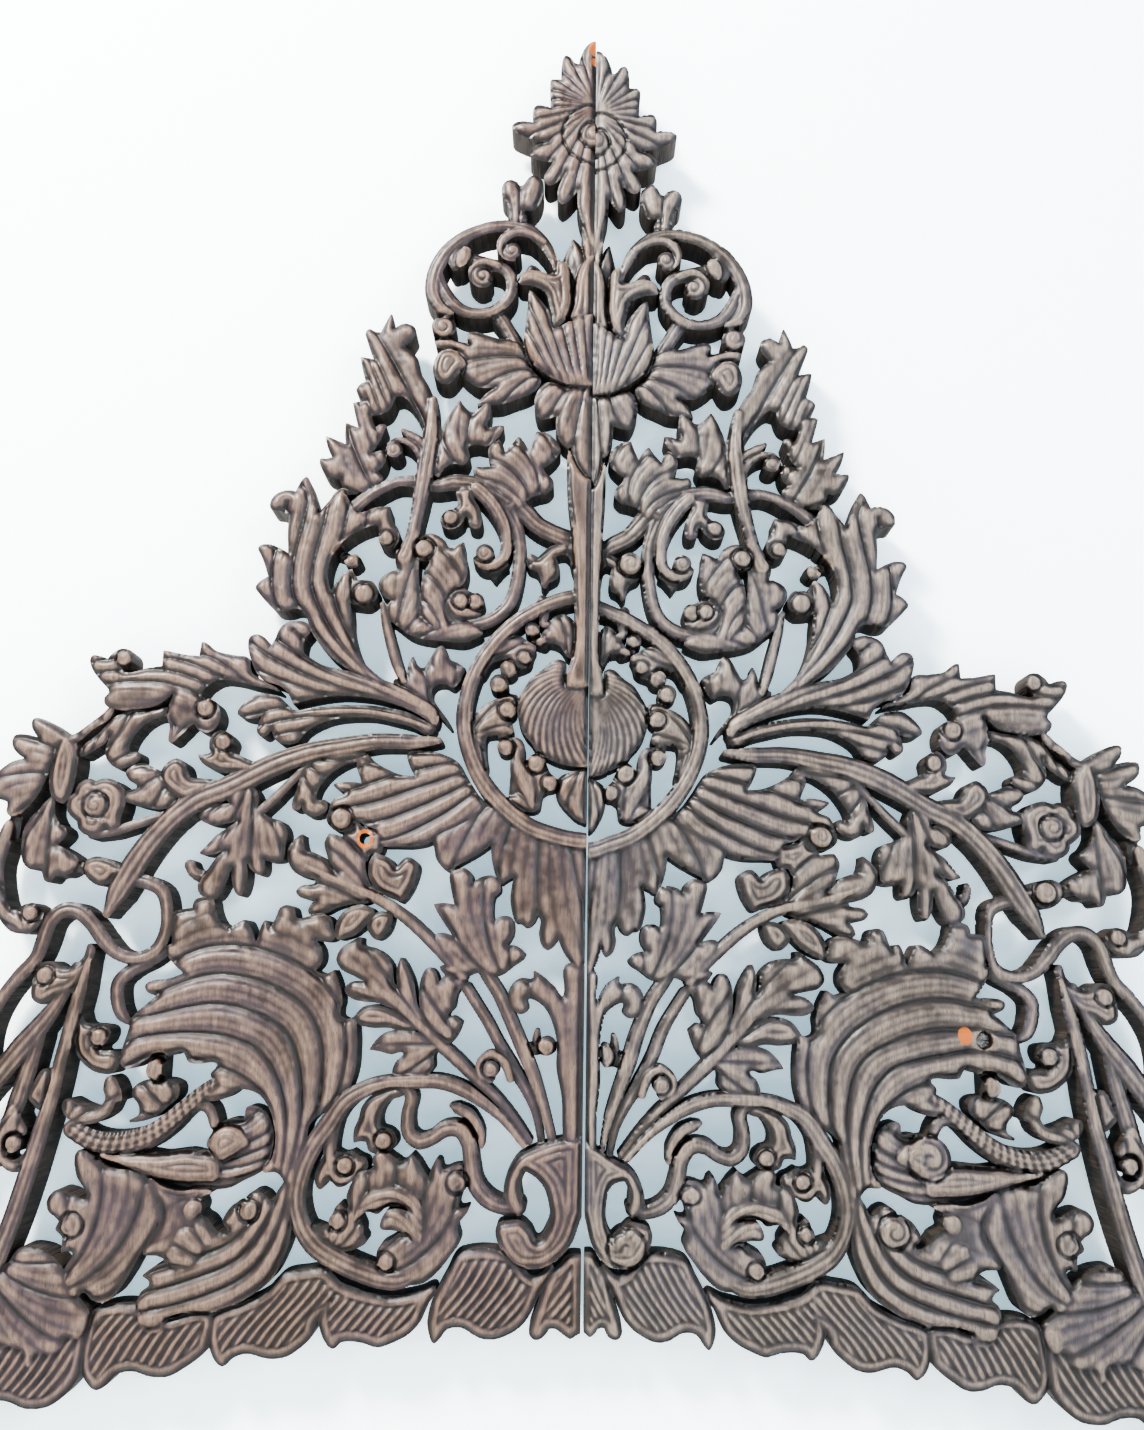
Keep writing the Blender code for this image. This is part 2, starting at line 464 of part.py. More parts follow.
        (222, 125), (212, 133), (206, 143), (200, 160), (199, 180),
    ]),
    ("low_drop", [
        (262, 176), (262, 183), (268, 185), (273, 182), (274, 176), (269, 171),
    ]),
    ("low_fan", [
        (250, 158), (255, 166), (262, 170), (270, 170), (277, 166), (282, 160), (285, 152), (282, 144),
        (277, 138), (270, 136), (263, 140), (260, 148),
    ]),
    ("wing_face", [
        (300, 198), (312, 203), (328, 205), (336, 210), (350, 216), (350, 200), (343, 190), (342, 184),
        (350, 187), (362, 190), (368, 184), (367, 176), (360, 170), (361, 164), (356, 158),
        (356, 149, K), (348, 149), (352, 140), (354, 130), (350, 122), (343, 120), (338, 124),
        (332, 119), (324, 118), (317, 122), (309, 134), (302, 148), (296, 158), (291, 170), (292, 182),
    ]),
    ("wing_foot", [
        (343, 124), (352, 138), (362, 148), (372, 152), (384, 152), (392, 142), (404, 132), (414, 112),
        (410, 95), (400, 84), (388, 88), (377, 86), (374, 78), (370, 76), (366, 84), (356, 84),
        (350, 88), (347, 94), (340, 94), (334, 101), (333, 112),
    ]),
    ("lappet_0", [
        (0, 152, K), (10, 152), (16, 146), (24, 138), (30, 122), (35, 108), (36, 102), (34, 98),
        (30, 97), (26, 99), (22, 104, K), (18, 104), (12, 100), (8, 98), (4, 100), (0, 102, K),
    ]),
    ("lappet_1", [
        (20, 145), (34, 138), (50, 153), (84, 153), (94, 138), (102, 122), (105, 108), (103, 98),
        (100, 94), (96, 97), (91, 103), (82, 104), (70, 98), (60, 97), (50, 100), (42, 105), (36, 112),
        (28, 128),
    ]),
    ("lappet_2", [
        (100, 130), (112, 127), (130, 124), (150, 127), (164, 132), (176, 141), (178, 125), (179, 108),
        (176, 98), (171, 91), (167, 90), (162, 94), (150, 94), (138, 91), (128, 94), (118, 99),
        (110, 107), (105, 118),
    ]),
    ("lappet_3", [
        (150, 125), (164, 132), (176, 141), (190, 140), (205, 137), (216, 126), (232, 118), (250, 111),
        (253, 100), (251, 88), (246, 80), (241, 78), (235, 83), (226, 86), (212, 83), (200, 84),
        (190, 90), (182, 98), (178, 108),
    ]),
    ("lappet_4", [
        (250, 111), (266, 112), (280, 108), (300, 116), (318, 117), (332, 112), (336, 100), (338, 84),
        (336, 72), (330, 64), (325, 62), (319, 65), (312, 72), (302, 74), (290, 71), (278, 71),
        (268, 76), (258, 83), (252, 90),
    ]),
    ("lappet_5", [
        (334, 112), (345, 105), (360, 100), (380, 98), (398, 94), (410, 88), (416, 70), (418, 58),
        (414, 50), (408, 46), (402, 49), (395, 54), (384, 54), (372, 50), (358, 51), (348, 57),
        (340, 66), (336, 76),
    ]),
    ("lappet_6", [
        (400, 98), (420, 104), (440, 96), (462, 84), (478, 66), (488, 44), (492, 22), (490, 8),
        (485, 0), (479, 4), (470, 14), (458, 22), (444, 26), (430, 32), (420, 42), (415, 56),
    ]),
    ("finial_foot", [
        (0, 930, K), (9, 930), (9, 915), (7, 900), (5, 888), (0, 885, K),
    ]),
]

# Bands that run along a line of points: (outward, up, width).
BANDS = [
    ("crest_band", [
        (30, 886, 3), (33, 898, 7), (40, 911, 10), (52, 922, 12), (68, 926, 11), (85, 924, 10),
        (102, 917, 10), (115, 906, 11), (123, 893, 12), (127, 880, 12), (127, 866, 12), (121, 855, 10),
        (114, 850, 8),
    ]),
    ("crest_curl_in", [
        (40, 912, 6), (52, 919, 8), (63, 920, 8), (72, 914, 8), (74, 906, 7), (70, 899, 6),
        (64, 897, 4),
    ]),
    ("crest_curl_out", [
        (88, 920, 4), (100, 915, 6), (108, 906, 7), (112, 897, 9), (110, 890, 7),
    ]),
    ("crest_ring", [
        (96, 896, 12), (84, 893, 11), (73, 890, 10), (66, 882, 9), (65, 870, 9), (70, 860, 9),
        (80, 852, 9), (92, 850, 9), (104, 853, 10), (113, 861, 11), (120, 873, 10), (124, 884, 8),
    ]),
    ("crest_ring_eye", [
        (76, 891, 6), (86, 894, 8), (94, 889, 9), (95, 881, 8), (90, 875, 7), (84, 876, 5),
    ]),
    ("ring_neck", [
        (52, 812, 14), (60, 826, 12), (67, 838, 11), (74, 849, 12), (80, 854, 8),
    ]),
    ("crest_foot", [
        (116, 850, 12), (118, 840, 12), (119, 830, 10), (108, 824, 10), (94, 820, 12),
    ]),
    ("palm_stem", [
        (8, 662, 16), (24, 668, 14), (40, 676, 14), (52, 688, 16), (64, 698, 16),
    ]),
    ("mid_stem", [
        (124, 775, 8), (124, 750, 11), (127, 725, 14), (130, 700, 12), (133, 680, 10), (136, 663, 10),
        (141, 648, 13),
    ]),
    ("stem_curl", [
        (128, 735, 6), (133, 742, 7), (140, 746, 7), (146, 750, 3),
    ]),
    ("stem_curl2", [
        (131, 728, 6), (136, 736, 6), (143, 741, 5), (150, 742, 4), (156, 739, 4),
    ]),
    ("serr_foot", [
        (180, 702, 6), (192, 700, 7), (198, 692, 6), (205, 681, 8),
    ]),
    ("ring_top", [
        (64, 694, 16), (78, 703, 15), (92, 708, 14), (106, 709, 13), (120, 706, 10), (134, 709, 10),
        (148, 709, 8), (160, 704, 9), (172, 696, 10), (183, 685, 12), (190, 673, 12),
    ]),
    ("ring_left", [
        (66, 690, 16), (57, 672, 12), (54, 655, 10), (55, 635, 10), (60, 615, 10), (70, 603, 11),
        (84, 597, 11), (98, 596, 10), (107, 603, 7), (109, 613, 5),
    ]),
    ("ring_inner", [
        (88, 704, 12), (76, 692, 12), (67, 676, 11), (64, 660, 9), (66, 649, 8), (73, 643, 8),
        (81, 643, 8), (86, 647, 6),
    ]),
    ("heart_stem", [
        (138, 552, 6), (144, 566, 8), (149, 582, 8), (153, 597, 7), (156, 611, 4),
    ]),
    ("medal_ring", [
        (0, 620.5, 11), (30, 613, 11), (60, 594, 11), (83, 563, 11), (92, 527, 12), (86, 495, 12),
        (70, 468, 13), (45, 446, 13), (20, 437, 13), (0, 434, 13),
    ]),
    ("medal_hook", [
        (36, 616, 8), (34, 606, 7), (35, 598, 6), (31, 597, 4),
    ]),
    ("medal_stalk", [
        (34, 584, 8), (40, 586, 7), (44, 590, 6),
    ]),
    ("medal_link", [
        (66, 548, 8), (62, 541, 10), (56, 540, 8),
    ]),
    ("medal_link_2", [
        (62, 516, 8), (62, 508, 8), (52, 506, 8), (51, 495, 9), (53, 482, 8), (54, 468, 8),
    ]),
    ("vine", [
        (110, 507, 5), (130, 506, 11), (155, 506, 12), (180, 502, 14), (205, 497, 15), (232, 487, 17),
        (262, 471, 17), (285, 461, 17), (303, 446, 16), (317, 429, 17), (328, 411, 18), (337, 393, 16),
        (343, 378, 6),
    ]),
    ("vine_branch", [
        (202, 492, 6), (215, 478, 6), (228, 464, 7), (240, 452, 7), (250, 440, 6),
    ]),
    ("cluster_link", [
        (276, 405, 10), (284, 408, 8), (288, 414, 8),
    ]),
    ("pointed_stem", [
        (88, 338, 8), (97, 348, 9), (110, 361, 9), (128, 377, 9), (148, 390, 8), (170, 400, 7),
        (190, 408, 5), (203, 414, 3),
    ]),
    ("bud_stem", [
        (34, 300, 4), (34, 293, 7), (30, 288, 8), (24, 289, 8),
    ]),
    ("stem_1", [
        (22, 226, 6), (28, 247, 7), (36, 270, 9), (44, 288, 10), (53, 308, 10), (61, 325, 10),
        (69, 337, 10), (78, 352, 9),
    ]),
    ("stem_2", [
        (30, 226, 5), (34, 245, 6), (42, 262, 8), (52, 277, 10), (61, 292, 8), (69, 306, 8),
        (77, 318, 8), (85, 330, 8),
    ]),
    ("stem_3", [
        (38, 226, 5), (50, 242, 6), (63, 256, 7), (77, 268, 8), (90, 280, 9), (102, 290, 9),
        (114, 301, 8), (127, 312, 8), (141, 325, 8), (153, 336, 7), (164, 348, 4),
    ]),
    ("stem_2_curl", [
        (52, 268, 6), (57, 279, 7), (66, 284, 6), (73, 279, 6), (73, 271, 6), (66, 267, 5),
    ]),
    ("vase_vine", [
        (45, 183, 12), (56, 183, 11), (67, 188, 12), (75, 198, 12), (78, 212, 11), (80, 224, 11),
        (87, 233, 11), (97, 233, 11), (106, 227, 10), (115, 225, 11), (122, 231, 10), (123, 243, 9),
        (121, 254, 9), (125, 261, 9), (133, 266, 8),
    ]),
    ("vase_leaf", [
        (71, 222, 3), (73, 233, 7), (80, 243, 9), (88, 247, 8), (93, 249, 3),
    ]),
    ("scroll_band", [
        (42, 224, 5), (56, 240, 6), (70, 251, 8), (85, 260, 10), (102, 265, 10), (120, 265, 10),
        (138, 264, 9), (152, 260, 11), (167, 251, 13), (178, 235, 14), (188, 220, 13), (195, 203, 13),
        (197, 186, 13), (193, 170, 13), (184, 157, 14), (170, 148, 14), (154, 141, 14), (138, 136, 14),
        (124, 135, 12), (112, 142, 10),
    ]),
    ("scroll_inner", [
        (170, 246, 8), (174, 232, 8), (176, 218, 9), (174, 206, 8), (169, 199, 7), (162, 200, 6),
        (158, 205, 5),
    ]),
    ("scroll_tail", [
        (152, 160, 8), (162, 157, 9), (175, 161, 10), (187, 166, 8),
    ]),
    ("rope", [
        (254, 264, 8), (264, 258, 9), (274, 249, 11), (286, 238, 12), (300, 228, 13), (318, 222, 14),
        (338, 222, 14), (355, 230, 13),
    ]),
    ("rope_2", [
        (257, 234, 7), (262, 245, 8), (270, 247, 8), (279, 242, 9), (289, 231, 9), (302, 221, 8),
        (318, 216, 8),
    ]),
    ("loop", [
        (334, 403, 10), (318, 401, 10), (306, 395, 10), (301, 381, 9), (301, 366, 9), (307, 353, 9),
        (320, 347, 9), (334, 350, 9), (345, 360, 11), (354, 371, 11), (364, 379, 11), (375, 380, 11),
        (384, 372, 11), (388, 358, 11), (392, 346, 10), (402, 334, 10), (412, 320, 9), (420, 302, 9),
        (422, 282, 8), (418, 264, 6),
    ]),
    ("loop_tail", [
        (300, 352, 7), (311, 345, 9), (323, 339, 10), (332, 330, 10), (332, 318, 10), (328, 308, 9),
        (322, 303, 5),
    ]),
    ("flower_stem", [
        (306, 450, 7), (318, 446, 7), (330, 442, 7), (345, 437, 7), (360, 434, 5),
    ]),
    ("pod_link", [
        (360, 409, 8), (370, 412, 8),
    ]),
    ("wing_stem_a", [
        (353, 345, 4), (357, 325, 9), (361, 305, 10), (366, 280, 9), (370, 255, 10), (377, 225, 12),
        (384, 195, 13), (392, 165, 13), (402, 135, 13), (414, 105, 12), (430, 75, 11), (446, 48, 10),
    ]),
    ("wing_stem_b", [
        (362, 340, 8), (372, 318, 10), (384, 300, 14), (396, 285, 16), (410, 266, 15), (424, 246, 13),
        (437, 218, 13), (447, 188, 12), (454, 158, 11), (458, 128, 10), (459, 98, 10), (458, 78, 8),
    ]),
    ("wing_stem_c", [
        (384, 292, 8), (390, 270, 12), (396, 248, 13), (401, 228, 11), (404, 208, 8),
    ]),
    ("curl_link", [
        (178, 646, 8), (188, 652, 7), (200, 656, 6),
    ]),
    ("bud_link", [
        (25, 290, 10), (42, 287, 9),
    ]),
    ("drop_link", [
        (300, 286, 9), (300, 262, 9),
    ]),
    ("leaf_link", [
        (73, 231, 8), (84, 236, 8),
    ]),
    ("curl_link_2", [
        (417, 458, 9), (419, 434, 9),
    ]),
]

# The round eyes and balls: (outward, up, radius).
BOSSES = [
    (0, 1009, 26), (0, 1008, 12), (65, 904, 7), (88, 882, 8), (117.5, 838.5, 9.5), (152, 734, 6.5),
    (80, 652, 7), (107, 680, 6), (126, 655, 7.5), (86, 614, 6.5), (97, 614, 6), (155, 662, 6),
    (170, 618, 8), (181, 646, 6), (43, 593, 5.5), (48, 571, 5.5), (60, 562, 6.5), (67, 551, 7),
    (60, 531, 6.5), (61, 503, 6), (38, 491, 7), (28, 477, 6), (268, 504, 6.5), (179, 449, 8),
    (27, 290, 6.5), (66, 274, 6), (139, 225, 6), (165, 208, 6), (134, 146, 6), (168, 172, 6),
    (87, 198, 7), (358, 456, 9), (283, 529, 7), (346, 566, 6), (384, 334, 6.5), (398, 378, 6),
    (342, 292, 6.5), (395, 220, 6), (229, 178, 7), (350, 167, 8),
]


# How far each spot of the right board's carving lies from its mirror image on the left board:
# (outward, up, shift outward, shift up). The two boards were carved by hand and differ a little.
HAND_SHIFTS = [
    (25, 1082, -1, -9), (50, 1035, -1, -6), (68, 968, -2, -8), (70, 931, -8, -4), (133, 868, -8, -8),
    (88, 882, -9, -9), (117, 838, -3, -5), (159, 850, -9, -10), (179, 834, -13, -8),
    (182, 812, -10, -10), (186, 773, -10, -7), (206, 746, -10, -7), (209, 727, -12, -8),
    (124, 750, -12, -8), (130, 700, -20, -8), (218, 711, -11, -8), (244, 693, -16, -3),
    (250, 656, -11, -10), (252, 622, -14, -6), (254, 585, -11, -5), (290, 580, -15, -11),
    (318, 573, -16, -9), (346, 566, -14, -9), (371, 568, -18, -9), (359, 533, -18, -10),
    (107, 680, -12, -5), (80, 652, -10, -9), (126, 655, -8, -2), (170, 618, -12, -3),
    (98, 527, -9, -6), (70, 431, -12, -7), (111, 435, -11, -8), (110, 388, -14, -1),
    (205, 190, -18, -3), (134, 146, -17, -1), (168, 172, -16, -4), (165, 208, -12, -8),
    (139, 225, -12, -10), (215, 386, -7, -11), (358, 457, -21, -7), (398, 378, -19, -8),
    (384, 334, -15, -4), (395, 220, -17, -5), (370, 250, -16, -5), (379, 200, -19, -4),
    (229, 178, -16, -8), (268, 178, -14, -1), (30, 97, -8, 1), (100, 94, -14, -2), (167, 90, -12, -4),
    (241, 78, -16, -3), (325, 62, -22, -1),
]
SHIFT_REACH = 32.0
FAR_REACH = 96.0
FAR_WEIGHT = 1e-5
SHIFT_SEAM_RAMP = 25.0

# The right board has a coiled foot under its vase and a snail-shaped coil inside its big plume.
RIGHT_DISCS = [(30, 157, 14), (229, 214, 26)]


def clear_scene():
    for old in list(bpy.data.objects):
        bpy.data.objects.remove(old)


def new_collection(name, hidden=False):
    collection = bpy.data.collections.new(name)
    collection.hide_render = hidden
    bpy.context.scene.collection.children.link(collection)
    return collection


def new_material(name, colour, roughness, metallic=0.0):
    material = bpy.data.materials.new(name)
    material.use_nodes = True
    shader = material.node_tree.nodes["Principled BSDF"]
    shader.inputs["Base Color"].default_value = (*colour, 1.0)
    shader.inputs["Roughness"].default_value = roughness
    shader.inputs["Metallic"].default_value = metallic
    return material


def hand_shifted(point):
    """Moves a point of the left board's pattern to where the right board has it."""
    total = 1e-9
    shift = Vector((0.0, 0.0))
    for outward, up, shift_outward, shift_up in HAND_SHIFTS:
        distance = (Vector((outward, up)) - point).length
        weight = math.exp(-(distance / SHIFT_REACH) ** 2 / 2)
        weight += FAR_WEIGHT * math.exp(-((distance / FAR_REACH) ** 2) / 2)
        total += weight
        shift += weight * Vector((shift_outward, shift_up))
    shift /= total
    ramp = min(1.0, max(0.0, point.x / SHIFT_SEAM_RAMP))
    return Vector((point.x + shift.x * ramp, point.y + shift.y))


def placed(points, side):
    """The points of a motif on the given board."""
    points = [Vector(point[:2]) for point in points]
    if side == RIGHT:
        points = [hand_shifted(point) for point in points]
    return points


def tangent(spots, index, corners, closed, chord):
    """The curve's direction at a point, about as long as the chord beside it; none at a corner or an end."""
    count = len(spots)
    if index in corners or (not closed and index in (0, count - 1)):
        return None
    across = (spots[(index + 1) % count] - spots[index - 1]) / 2
    length = min(max(across.length, TANGENT_SHARE * chord.length), chord.length)
    return across.normalized() * length


def curve_through(points, closed):
    """A smooth line through the points, with straight or free ends at the corners."""
    spots = [Vector(point[:2]) for point in points]
    corners = {index for index, point in enumerate(points) if point[2:] == (K,)}
    line = []
    for index in range(len(spots) if closed else len(spots) - 1):
        here = spots[index]
        there = spots[(index + 1) % len(spots)]
        chord = there - here
        leaving = tangent(spots, index, corners, closed, chord)
        arriving = tangent(spots, (index + 1) % len(spots), corners, closed, chord)
        if leaving is None and arriving is None:
            leaving = arriving = chord
        leaving = leaving or 1.5 * chord - 0.5 * arriving
        arriving = arriving or 1.5 * chord - 0.5 * leaving
        for step in range(CURVE_STEPS):
            t = step / CURVE_STEPS
            spot = here * (2 * t**3 - 3 * t**2 + 1) + there * (3 * t**2 - 2 * t**3)
            spot += leaving * (t**3 - 2 * t**2 + t) + arriving * (t**3 - t**2)
            line.append(spot)
    if not closed:
        line.append(spots[-1])
    return line


def band_outline(points, share=1.0):
    """The outline of a band that runs along the points; the third number of each is its width there."""
    centre = curve_through(points, closed=False)
    near, far = [], []
    for index, spot in enumerate(centre):
        before = centre[max(index - 1, 0)]
        after = centre[min(index + 1, len(centre) - 1)]
        along = (after - before).normalized()
        place, part = divmod(index, CURVE_STEPS)
        width = points[place][2]
        if part:
            width += (points[place + 1][2] - width) * part / CURVE_STEPS
        half_width = Vector((-along.y, along.x)) * width * share / 2
        near.append(spot + half_width)
        far.append(spot - half_width)
    return near + far[::-1]


def disc_outline(outward, up, radius, sides=BOSS_SIDES):
    angles = [2 * math.pi * step / sides for step in range(sides)]
    return [Vector((outward + radius * math.cos(a), up + radius * math.sin(a))) for a in angles]


def slab(name, outlines, side, front, back, collection):
    """A plate with the given outlines, from y = -front to y = -back; an outline inside another is a hole."""
    curve = bpy.data.curves.new(name, "CURVE")
    curve.dimensions = "2D"
    curve.fill_mode = "BOTH"
    curve.extrude = (front - back) / 2 * MM
    for outline in outlines:
        spline = curve.splines.new("POLY")
        spline.points.add(len(outline) - 1)
        spline.use_cyclic_u = True
        for target, point in zip(spline.points, outline):
            target.co = (side * point[0] * MM, point[1] * MM, 0, 1)
    drawn = bpy.data.objects.new(name, curve)
    drawn.rotation_euler = (math.pi / 2, 0, 0)
    drawn.location = (0, -(front + back) / 2 * MM, 0)
    bpy.context.scene.collection.objects.link(drawn)
    solid = solid_from_curve(drawn)
    collection.objects.link(solid)
    return solid


def solid_from_curve(drawn):
    name = drawn.name
    bpy.context.view_layer.update()
    graph = bpy.context.evaluated_depsgraph_get()
    mesh = bpy.data.meshes.new_from_object(drawn.evaluated_get(graph))
    weld(mesh)
    matrix = drawn.matrix_world.copy()
    bpy.data.objects.remove(drawn)
    solid = bpy.data.objects.new(name, mesh)
    solid.matrix_world = matrix
    return solid


def weld(mesh):
    """Joins the points that lie on each other and turns the faces outwards; tells whether it is closed."""
    shape = bmesh.new()
    shape.from_mesh(mesh)
    bmesh.ops.remove_doubles(shape, verts=shape.verts, dist=0.01 * MM)
    bmesh.ops.recalc_face_normals(shape, faces=shape.faces)
    closed = all(edge.is_manifold for edge in shape.edges)
    shape.to_mesh(mesh)
    shape.free()
    return closed


def cylinder(name, radius, front, back, outward, up, side, collection):
    """A round bar along y, from y = -front to y = -back."""
    bpy.ops.mesh.primitive_cylinder_add(
        vertices=ROUND_SIDES,
        radius=radius * MM,
        depth=(front - back) * MM,
        location=(side * outward * MM, -(front + back) / 2 * MM, up * MM),
        rotation=(math.pi / 2, 0, 0),
    )
    bar = bpy.context.object
    bar.name = name
    for owner in list(bar.users_collection):
        owner.objects.unlink(bar)
    collection.objects.link(bar)
    return bar


def block(name, low, high, collection):
    """A box between two corners, given in millimetres."""
    low = Vector(low)
    high = Vector(high)
    bpy.ops.mesh.primitive_cube_add(size=1, location=(low + high) / 2 * MM)
    box = bpy.context.object
    box.name = name
    box.scale = (high - low) * MM
    for owner in list(box.users_collection):
        owner.objects.unlink(box)
    collection.objects.link(box)
    return box


def boolean(solid, operation, other):
    """Adds or cuts another object. A result with open edges is redone with the other solver."""
    for solver in ("EXACT", "MANIFOLD"):
        modifier = solid.modifiers.new("boolean", "BOOLEAN")
        modifier.operation = operation
        modifier.solver = solver
        modifier.object = other
        bpy.context.view_layer.update()
        graph = bpy.context.evaluated_depsgraph_get()
        mesh = bpy.data.meshes.new_from_object(solid.evaluated_get(graph))
        solid.modifiers.remove(modifier)
        if weld(mesh):
            break
    solid.data = mesh


def laid_flat(shapes):
    """(spots, triangles, owners) of all the shapes laid over each other: each triangle's owners cover it."""
    shapes = [shape if signed_area(shape) > 0 else shape[::-1] for shape in shapes]
    spots = [spot for shape in shapes for spot in shape]
    faces = []
    start = 0
    for shape in shapes:
        faces.append(list(range(start, start + len(shape))))
        start += len(shape)
    laid = delaunay_2d_cdt(spots, [], faces, TRIANGLES_INSIDE, SAME_SPOT)
    return laid[0], laid[2], laid[5]


def joined(shapes):
    """The rims of all the shapes together: closed outlines, those of the openings among them."""
    spots, triangles, owners = laid_flat(shapes)
    covered = [triangle for triangle, owned_by in zip(triangles, owners) if owned_by]
    sides = {(face[corner - 1], face[corner]) for face in covered for corner in range(len(face))}
    following = {}
    for here, there in sorted(sides):
        if (there, here) not in sides:
            following.setdefault(here, []).append(there)
    outlines = []
    while following:
        here = min(following)
        outline = []
        while here in following:
            outline.append(spots[here])
            onward = following[here]
            there = onward.pop()
            if not onward:
                del following[here]
            here = there
        outlines.append(outline)
    return outlines


def pierced_plate(name, outlines, side, collection):
    """A plate as deep as the board, inside the largest outline and outside all the others."""
    outlines = sorted(outlines, key=lambda outline: -abs(signed_area(outline)))
    spots, triangles, owners = laid_flat(outlines)
    solid_faces = [triangle for triangle, owned_by in zip(triangles, owners) if owned_by == [0]]
    mesh = bpy.data.meshes.new(name)
    mesh.from_pydata([(side * spot.x * MM, 0, spot.y * MM) for spot in spots], [], solid_faces)
    shape = bmesh.new()
    shape.from_mesh(mesh)
    bmesh.ops.delete(shape, geom=[vert for vert in shape.verts if not vert.link_faces], context="VERTS")
    front = bmesh.ops.extrude_face_region(shape, geom=shape.faces[:], use_keep_orig=True)["geom"]
    moved = [item for item in front if isinstance(item, bmesh.types.BMVert)]
    bmesh.ops.translate(shape, verts=moved, vec=(0, -BOARD_DEPTH * MM, 0))
    bmesh.ops.recalc_face_normals(shape, faces=shape.faces)
    shape.to_mesh(mesh)
    shape.free()
    plate = bpy.data.objects.new(name, mesh)
    collection.objects.link(plate)
    return plate


def signed_area(outline):
    total = 0.0
    for here, there in zip(outline, outline[1:] + outline[:1]):
        total += (here.x * there.y - there.x * here.y) / 2
    return total


def triangle_area(a, b, c):
    return abs((b.x - a.x) * (c.y - a.y) - (c.x - a.x) * (b.y - a.y)) / 2


def is_clear(a, b, c, tree):
    """Whether no other outline point lies in the triangle."""
    middle = (a + b + c) / 3
    reach = max((corner - middle).length for corner in (a, b, c))
    for spot, _, _ in tree.find_range(middle.to_3d(), reach):
        spot = spot.to_2d()
        if min((spot - corner).length for corner in (a, b, c)) < SAME_SPOT:
            continue
        split = triangle_area(a, b, spot) + triangle_area(b, c, spot) + triangle_area(a, c, spot)
        if split < triangle_area(a, b, c) + CLEAR_AREA:
            return False
    return True


def spot_tree(outlines):
    tree = KDTree(sum(len(outline) for outline in outlines))
    for index, spot in enumerate(spot for outline in outlines for spot in outline):
        tree.insert(spot.to_3d(), index)
    tree.balance()
    return tree


def thinned(outlines):
    """The outlines with fewer points, after passes that allow a little more each time."""
    for step in range(THINNING_PASSES):
        allowance = THINNING_AREA * (step + 1) / THINNING_PASSES
        tree = spot_tree(outlines)
        outlines = [thinned_once(outline, allowance, tree) for outline in outlines]
    return outlines


def thinned_once(outline, allowance, tree):
    """Drops the points that matter least to the shape, and never two neighbours at once."""
    kept = outline[:1]
    dropped = False
    for spot, beyond in zip(outline[1:], outline[2:] + outline[:1]):
        small = triangle_area(kept[-1], spot, beyond) < allowance
        dropped = not dropped and small and is_clear(kept[-1], spot, beyond, tree)
        if not dropped:
            kept.append(spot)
    return kept


def carved_board(name, side, collection, helpers):
    """One board: its pierced outline at one depth, with ribs and bosses that stand proud of it."""
    shapes = [placed(curve_through(points, closed=True), side) for _, points in OUTLINES]
    shapes += [placed(band_outline(points), side) for _, points in BANDS]
    discs = [(*placed([(outward, up)], side)[0], radius) for outward, up, radius in BOSSES]
    if side == RIGHT:
        discs += RIGHT_DISCS
    shapes += [disc_outline(*disc) for disc in discs]
    outlines = thinned([outline for outline in joined(shapes) if abs(signed_area(outline)) > SMALLEST_HOLE])
    board = pierced_plate(name, outlines, side, collection)
    cut_seam(board, side, helpers)
    add_relief(board, side, discs, helpers)
    return board


def cut_seam(board, side, helpers):
    """Trims the board at the seam, which opens slightly towards the bottom."""
    edge = [
        (-TRIM_REACH, -TRIM_REACH),
        (SEAM_GAP_LOW, -TRIM_REACH),
        (SEAM_GAP_LOW, SEAM_WIDE_BELOW),
        (SEAM_GAP_TOP, SEAM_CLOSE_ABOVE),
        (SEAM_GAP_TOP, PANEL_HEIGHT + TRIM_REACH),
        (-TRIM_REACH, PANEL_HEIGHT + TRIM_REACH),
    ]
    trim = slab("seam_trim", [edge], side, BOARD_DEPTH + OVERRUN, -OVERRUN, helpers)
    boolean(board, "DIFFERENCE", trim)
    bpy.data.objects.remove(trim)


def add_relief(board, side, discs, helpers):
    """Stems and scroll bands stand proud as ribs, and the round eyes of the scrolls as bosses."""
    long_bands = [points for _, points in BANDS if len(points) > 4]
    ribbed = [points for points in long_bands if points[len(points) // 2][2] >= RIBBED_FROM]
    for index, points in enumerate(ribbed):
        rib = thinned([placed(band_outline(points[1:-1], RIB_SHARE), side)])
        depth = RIB_DEPTH + index * RIB_DEPTH_STEP
        raised = slab("rib", rib, side, depth, BOARD_DEPTH - SINK, helpers)
        boolean(board, "UNION", raised)
        bpy.data.objects.remove(raised)
    for outward, up, radius in discs:
        if radius < SMALLEST_BOSS or outward < radius:
            continue
        outline = disc_outline(outward, up, radius * BOSS_SHARE)
        raised = slab("boss", [outline], side, BOSS_DEPTH, BOARD_DEPTH - SINK, helpers)
        boolean(board, "UNION", raised)
        bpy.data.objects.remove(raised)


def bore(board, hole, side, counterbored, helpers):
    """The fixing hole, right through the board; under a screw head it is wider in front."""
    cutters = [cylinder("bore", BORE_RADIUS, BOSS_DEPTH + OVERRUN, -OVERRUN, *hole, side, helpers)]
    if counterbored:
        seat = BOARD_DEPTH - SCREW_HEAD_SINK - SCREW_HEAD_HEIGHT
        wide = SCREW_HEAD_RADIUS + PLAY
        front = BOSS_DEPTH + OVERRUN
        cutters.append(cylinder("counterbore", wide, front, seat - PLAY, *hole, side, helpers))
    for cutter in cutters:
        boolean(board, "DIFFERENCE", cutter)
        bpy.data.objects.remove(cutter)


